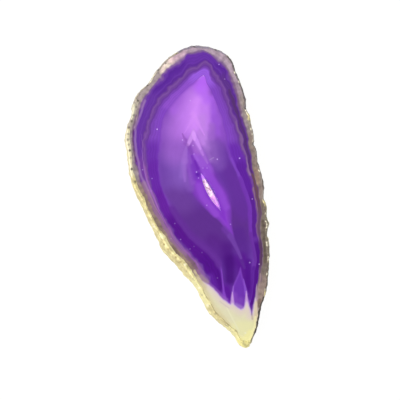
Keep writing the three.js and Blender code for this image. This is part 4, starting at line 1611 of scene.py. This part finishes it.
@dataclass
class PlatedEdge:
    """The metal skin on the rough wall, which laps over the front face.

    Its heights, sizes and depths are in millimetres.

    Attributes:
        half: how many steps each of a ring's two sides has.
        foot, shoulder: the heights of the wall's lowest and highest ring.
        ridge, lip, underside: the heights of the lap's crest and of both sides of its lip.
        ridge_share: where the crest lies on the way from the shoulder to the lip.
        knob_height: how fast a knob falls off, in millimetres for each knob size.
        knob_foot: how far from its middle a knob ends, in knob sizes.
        lap_rise: how far above the shoulder the lap is in full.
        lap_loss, lap_fading: how much lower knobs are on the lap, and the power of their fading.
        steep_slope: the slope below which a wall is steep.
        steep_gain, steep_loss: how much higher knobs and how much weaker the painted valley shade is
            there.
        grain_layers: the grain's roughness, the step between its layers, and their number.
        relief_limit: how far knobs and grain go up or down at most.
        valley: how wide the valleys between the knobs are, in knob sizes.
        shade_patch, shade_patch_place: the size of the patches with painted valley shade, and their
            place in the noise.
        shade_start, shade_gain: the noise's value where the valley shade begins, and how fast it gets
            dark.
    """

    node: str = "gold_edge"
    half: int = 560
    wall_rows: int = 24
    foot: float = 0.16
    shoulder: float = 4.86
    ridge: float = 5.17
    lip: float = 5.05
    underside: float = 5.02
    lap_rows: int = 8
    ridge_share: float = 0.5
    inner_heights: tuple[float, ...] = (5.0, 4.1, 3.0, 1.75, 0.6, 0.18)
    scallop_sizes: Span = (0.7, 2.1)
    scallop_depth: float = 0.16
    knob_size: float = 1.35
    knob_height: float = 0.17
    knob_foot: float = 0.4
    lap_rise: float = 0.3
    lap_loss: float = 0.6
    lap_fading: int = 3
    steep_slope: float = 0.35
    steep_gain: float = 0.7
    grain_size: float = 0.5
    grain_height: float = 0.035
    grain_layers: tuple[float, float, int] = (0.8, 2.0, 3)
    relief_limit: float = 0.16
    valley: float = 0.16
    shade_patch: float = 1.7
    shade_patch_place: tuple[float, float, float] = (7, 3, 1)
    shade_start: float = 0.05
    shade_gain: float = 4
    steep_loss: float = 0.6
    sharp: float = 70

    def ring(self, height: float, which: int) -> np.ndarray:
        """The metal's outer (0) or inner (1) outline at a height, as a ring."""
        return outline_ring(level_outlines(self.node, height)[which], self.half)

    def build(self) -> bpy.types.Object:
        """Makes the plated edge."""
        mesh = RingMesh(2 * self.half)
        heights = np.linspace(self.foot, self.shoulder, self.wall_rows)
        walls = [self.ring(height, 0) for height in heights]
        for ring, height in zip(walls, heights):
            mesh.grow(ring, height)
        lip = self.scalloped(self.drawn_in(self.ring(self.lip, 1)))
        for row in range(1, self.lap_rows + 1):
            share = row / self.lap_rows
            mesh.grow(walls[-1] + (lip - walls[-1]) * share, self.lap_height(share))
        outer_points = len(mesh.bm.verts)
        mesh.grow(lip, self.underside)
        for height in self.inner_heights:
            mesh.grow(self.ring(height, 1), height)
        mesh.grow(walls[0], self.foot)
        mesh.close()
        self.roughen(mesh, outer_points)
        return finish_piece("plated_rind", mesh.bm, self.sharp)

    def drawn_in(self, lip: np.ndarray) -> np.ndarray:
        """The lap's inner line, moved in to where the plating laps furthest on the left."""
        right, up = np.array(PHOTO.right[:2]), np.array(PHOTO.up[:2])
        line = PHOTO.path(LAP_LINE)[::-1]
        target = np.interp(lip @ up, line @ up, line @ right, left=-math.inf, right=-math.inf)
        on_left = np.arange(len(lip)) < self.half
        step = np.where(on_left, np.maximum(target - lip @ right, 0), 0)
        return lip + step[:, None] * right

    def scalloped(self, lip: np.ndarray) -> np.ndarray:
        """The lap's inner line with small scallops."""
        places = [Vector((x, y, 0)) for x, y in lip]
        swing = np.zeros(len(lip))
        for size in self.scallop_sizes:
            swing += [noise.noise(place / size) for place in places]
        return lip + outward(lip) * (self.scallop_depth * swing)[:, None]

    def lap_height(self, share: float) -> float:
        """The lap's height at a share of the way from its shoulder to its lip."""
        if share < self.ridge_share:
            rise = math.sqrt(1 - (1 - share / self.ridge_share) ** 2)
            return self.shoulder + (self.ridge - self.shoulder) * rise
        fall = (share - self.ridge_share) / (1 - self.ridge_share)
        return self.ridge - (self.ridge - self.lip) * (1 - math.cos(math.pi * fall)) / 2

    def roughen(self, mesh: RingMesh, outer_points: int) -> None:
        """Raises knobs and grain on the outside, and marks painted shade in the valleys between the
        knobs.

        Args:
            mesh: the edge's mesh.
            outer_points: how many of its points, from the first on, are on the outside.
        """
        mesh.bm.normal_update()
        mesh.bm.verts.ensure_lookup_table()
        slope = np.array([max(vert.normal.z, 0) for vert in mesh.bm.verts])
        valley_shade = np.zeros(len(slope))
        for index, vert in enumerate(mesh.bm.verts[:outer_points]):
            place = vert.co / MM
            near, second = noise.voronoi(place / self.knob_size)[0][:2]
            steep = max(1 - slope[index] / self.steep_slope, 0)
            valley_shade[index] = self.valley_shade_depth(place, second - near, steep)
            lap_row = max(index // (2 * self.half) - self.wall_rows + 1, 0)
            kept = 1 - (lap_row / self.lap_rows) ** self.lap_fading
            vert.co += vert.normal * self.relief(place, near, steep) * kept * MM
        mesh.add_field("valley_shade", valley_shade)
        mesh.add_field("slope", slope)

    def relief(self, place: Vector, near: float, steep: float) -> float:
        """How far knobs and grain raise a place of the outside.

        Args:
            place: the place, in millimetres.
            near: how far it is from the middle of its knob, in knob sizes.
            steep: how steep the wall is there, from 0 to 1.

        Returns:
            The height in millimetres, negative between the knobs.
        """
        lap = kept_between((place.z - self.shoulder) / self.lap_rise, 0, 1)
        strength = 1 - self.lap_loss * lap + self.steep_gain * steep
        knob = (self.knob_foot - near) * self.knob_height * strength
        grain = noise.fractal(place / self.grain_size, *self.grain_layers) * self.grain_height
        return kept_between(knob + grain, -self.relief_limit, self.relief_limit)

    def valley_shade_depth(self, place: Vector, apart: float, steep: float) -> float:
        """How dark the painted shade in the valley at a place of the outside is.

        Args:
            place: the place, in millimetres.
            apart: how much nearer one knob is than the next, in knob sizes.
            steep: how steep the wall is there, from 0 to 1.

        Returns:
            A number from 0 to 1.
        """
        valley = max(1 - apart / self.valley, 0)
        patch = noise.noise(place / self.shade_patch + Vector(self.shade_patch_place))
        patch = kept_between((patch - self.shade_start) * self.shade_gain, 0, 1)
        return valley * patch * (1 - self.steep_loss * steep)


@dataclass
class Druse:
    """The small quartz crystals that line the slit, on both sides of a thin crust.

    Attributes:
        slit: the slit's outline as a ring, in millimetres.
        crust: the heights of the crust's back and front, in millimetres.
        clearance: how far everything stays from the slit's wall, in millimetres.
        ends: the first and the last share of the slit's length that has crystals.
        widest: a crystal's largest radius, as a share of half the slit's width.
        sunk: how deep a crystal stands in the crust, in millimetres.
        splay: how far crystals beside the slit's wall tilt towards it, in radians.
        tilt, nod: how far any crystal tilts across and along the slit at most, in radians.
        taper: its radius where its point begins, as a share of that at its foot.
        point: the height of its point, as a share of its length.
    """

    slit: np.ndarray
    crust: Span = (1.95, 3.1)
    clearance: float = 0.012
    crust_points: int = 140
    crystals: int = 150
    ends: Span = (0.025, 0.975)
    radius: Span = (0.13, 0.3)
    length: Span = (1.1, 1.95)
    widest: float = 0.75
    sunk: float = 0.2
    splay: float = 0.35
    tilt: float = 0.12
    nod: float = 0.3
    sides: int = 6
    taper: float = 0.92
    point: float = 0.35
    seed: int = 7
    sharp: float = 20

    def build(self) -> bpy.types.Object:
        """Makes the crust and its crystals as one piece."""
        half = len(self.slit) // 2
        self.left = self.slit[: half + 1]
        self.right = np.concatenate([self.slit[half:], self.slit[:1]])[::-1]
        pick = random.Random(self.seed)
        bm = bmesh.new()
        self.add_crust(bm)
        template = self.crystal()
        for side in (1, -1):
            for _ in range(self.crystals):
                self.add_crystal(bm, template, side, pick)
        bpy.data.meshes.remove(template)
        bmesh.ops.recalc_face_normals(bm, faces=bm.faces)
        return finish_piece("crystal_lining", bm, self.sharp)

    def middle(self, share: float) -> tuple[np.ndarray, np.ndarray]:
        """The slit's middle at a share of its length, and half its width as a vector."""
        index = share * (len(self.left) - 1)
        low = min(int(index), len(self.left) - 2)
        left = self.left[low] + (self.left[low + 1] - self.left[low]) * (index - low)
        right = self.right[low] + (self.right[low + 1] - self.right[low]) * (index - low)
        return (left + right) / 2, (right - left) / 2

    def add_crust(self, bm: bmesh.types.BMesh) -> None:
        """Adds the crust that the crystals stand on."""
        back, front = self.crust
        every = len(self.slit) // self.crust_points
        ring = (self.slit - outward(self.slit) * self.clearance)[::every]
        verts = bmesh.ops.create_circle(bm, cap_ends=True, segments=len(ring), radius=1)["verts"]
        for vert, (x, y) in zip(verts, ring):
            vert.co = (x * MM, y * MM, back * MM)
        made = bmesh.ops.extrude_face_region(bm, geom=list(bm.faces))["geom"]
        raised = [item for item in made if isinstance(item, bmesh.types.BMVert)]
        bmesh.ops.translate(bm, verts=raised, vec=(0, 0, (front - back) * MM))

    def crystal(self) -> bpy.types.Mesh:
        """A pointed crystal of radius 1 and length 1 that stands on the origin."""
        bm = bmesh.new()
        shaft = 1 - self.point
        bmesh.ops.create_cone(
            bm,
            cap_ends=True,
            segments=self.sides,
            radius1=1,
            radius2=self.taper,
            depth=shaft,
            matrix=Matrix.Translation((0, 0, shaft / 2)),
        )
        top = max(bm.faces, key=lambda face: face.calc_center_median().z)
        peak = bmesh.ops.poke(bm, faces=[top])["verts"]
        bmesh.ops.translate(bm, verts=peak, vec=(0, 0, self.point))
        mesh = bpy.data.meshes.new("crystal")
        bm.to_mesh(mesh)
        bm.free()
        return mesh

    def add_crystal(
        self, bm: bmesh.types.BMesh, template: bpy.types.Mesh, side: int, pick: random.Random
    ) -> None:
        """Adds one crystal.

        Args:
            bm: the mesh that it joins.
            template: the crystal of size 1.
            side: 1 for the front of the crust, -1 for its back.
            pick: the source of chance.
        """
        share = pick.uniform(*self.ends)
        lean = pick.uniform(-1, 1)
        middle, half_width = self.middle(share)
        width = float(np.linalg.norm(half_width))
        radius = min(pick.uniform(*self.radius), width * self.widest)
        length = pick.uniform(*self.length)
        room = max(width - radius - self.clearance, 0) / width
        base = middle + half_width * lean * room
        back, front = self.crust
        level = front - self.sunk if side > 0 else back + self.sunk
        tilt = lean * room * self.splay + pick.uniform(-self.tilt, self.tilt)
        nod = pick.uniform(-self.nod, self.nod)
        flip = Matrix.Rotation(0 if side > 0 else math.pi, 4, "X")
        place = (
            Matrix.Translation((base[0] * MM, base[1] * MM, level * MM))
            @ Euler((nod, -tilt, 0)).to_matrix().to_4x4()
            @ flip
            @ Matrix.Rotation(pick.uniform(0, math.pi), 4, "Z")
            @ Matrix.Diagonal((radius * MM, radius * MM, length * MM, 1))
        )
        known = len(bm.verts)
        bm.from_mesh(template)
        bm.verts.ensure_lookup_table()
        bmesh.ops.transform(bm, matrix=place, verts=bm.verts[known:])


@dataclass(frozen=True)
class SoftBox:
    """A square area light that faces the stone.

    Attributes:
        name: the light's name.
        turn: where it stands in the picture, in degrees counterclockwise from the right.
        rise: its height above the floor as an angle in degrees.
        distance: how far it is from the stone, in metres.
        size: the length of its side, in metres.
        power: its power in watts.
    """

    name: str
    turn: float
    rise: float
    distance: float
    size: float
    power: float


SOFT_BOXES = [
    SoftBox("key", 200, 48, 0.75, 0.55, 4.5),
    SoftBox("top_left", 118, 50, 0.8, 0.5, 2.2),
    SoftBox("fill_right", 10, 50, 0.9, 0.5, 1.8),
]


@dataclass
class Studio:
    """The floor, the soft lights and the camera straight above the stone.

    Attributes:
        floor_size: the length of the floor's side, in metres.
        floor_gap: how far the floor is below the stone, in metres.
        camera_height: how far the camera is above the stone's front, in metres.
        sensor: the width of the camera's sensor, in millimetres.
        world: how bright the surroundings are.
    """

    floor_size: float = 1.6
    floor_gap: float = 0.00002
    camera_height: float = 0.6
    sensor: float = 36.0
    world: float = 0.12

    def build(self) -> None:
        """Makes the whole studio."""
        self.add_floor()
        for box in SOFT_BOXES:
            self.add_light(box)
        self.add_world()
        self.add_camera()
        bpy.context.scene.view_settings.view_transform = "Standard"

    def add_floor(self) -> None:
        """Adds the floor, a hair below the stone."""
        bm = bmesh.new()
        bmesh.ops.create_grid(bm, x_segments=1, y_segments=1, size=self.floor_size / 2)
        bmesh.ops.translate(bm, verts=bm.verts, vec=(0, 0, -self.floor_gap))
        floor = finish_piece("floor", bm)
        floor.data.materials.append(FloorFinish().material())

    def add_light(self, box: SoftBox) -> None:
        """Adds one soft box."""
        light = bpy.data.lights.new(box.name, "AREA")
        light.size = box.size
        light.energy = box.power
        lamp = bpy.data.objects.new(box.name, light)
        turn, rise = math.radians(box.turn), math.radians(box.rise)
        flat = PHOTO.right * math.cos(turn) + PHOTO.up * math.sin(turn)
        away = flat * math.cos(rise) + Vector((0, 0, math.sin(rise)))
        lamp.location = away * box.distance
        lamp.rotation_euler = away.to_track_quat("Z", "Y").to_euler()
        lamp.visible_camera = False
        bpy.context.scene.collection.objects.link(lamp)

    def add_world(self) -> None:
        """Makes the dim grey surroundings."""
        world = bpy.data.worlds.new("studio")
        world.use_nodes = True
        background = world.node_tree.nodes["Background"]
        background.inputs["Color"].default_value = (1, 1, 1, 1)
        background.inputs["Strength"].default_value = self.world
        bpy.context.scene.world = world

    def add_camera(self) -> None:
        """Adds the camera, which looks straight down with the picture's lean."""
        camera = bpy.data.cameras.new("camera")
        top = CAD_BOX[1].z
        centre = PHOTO.point(PHOTO.size / 2, PHOTO.size / 2) * MM
        width = PHOTO.size / PHOTO.pixels_per_mm * MM
        camera.sensor_width = self.sensor
        camera.lens = self.sensor * self.camera_height / width
        eye = bpy.data.objects.new("camera", camera)
        eye.location = centre + Vector((0, 0, top + self.camera_height))
        eye.rotation_euler = (0, 0, -PHOTO.lean)
        bpy.context.scene.collection.objects.link(eye)
        bpy.context.scene.camera = eye


def main() -> None:
    """Builds the slice and its studio."""
    stone = Stone()
    dress(stone.build(), AgateFinish().material(), "agate_slice")
    dress(PlatedEdge().build(), PlatingFinish().material(), "gold_edge")
    dress(Druse(slit=stone.slit).build(), QuartzFinish().material(), "quartz_druse")
    Studio().build()


if __name__ == "__main__":
    main()
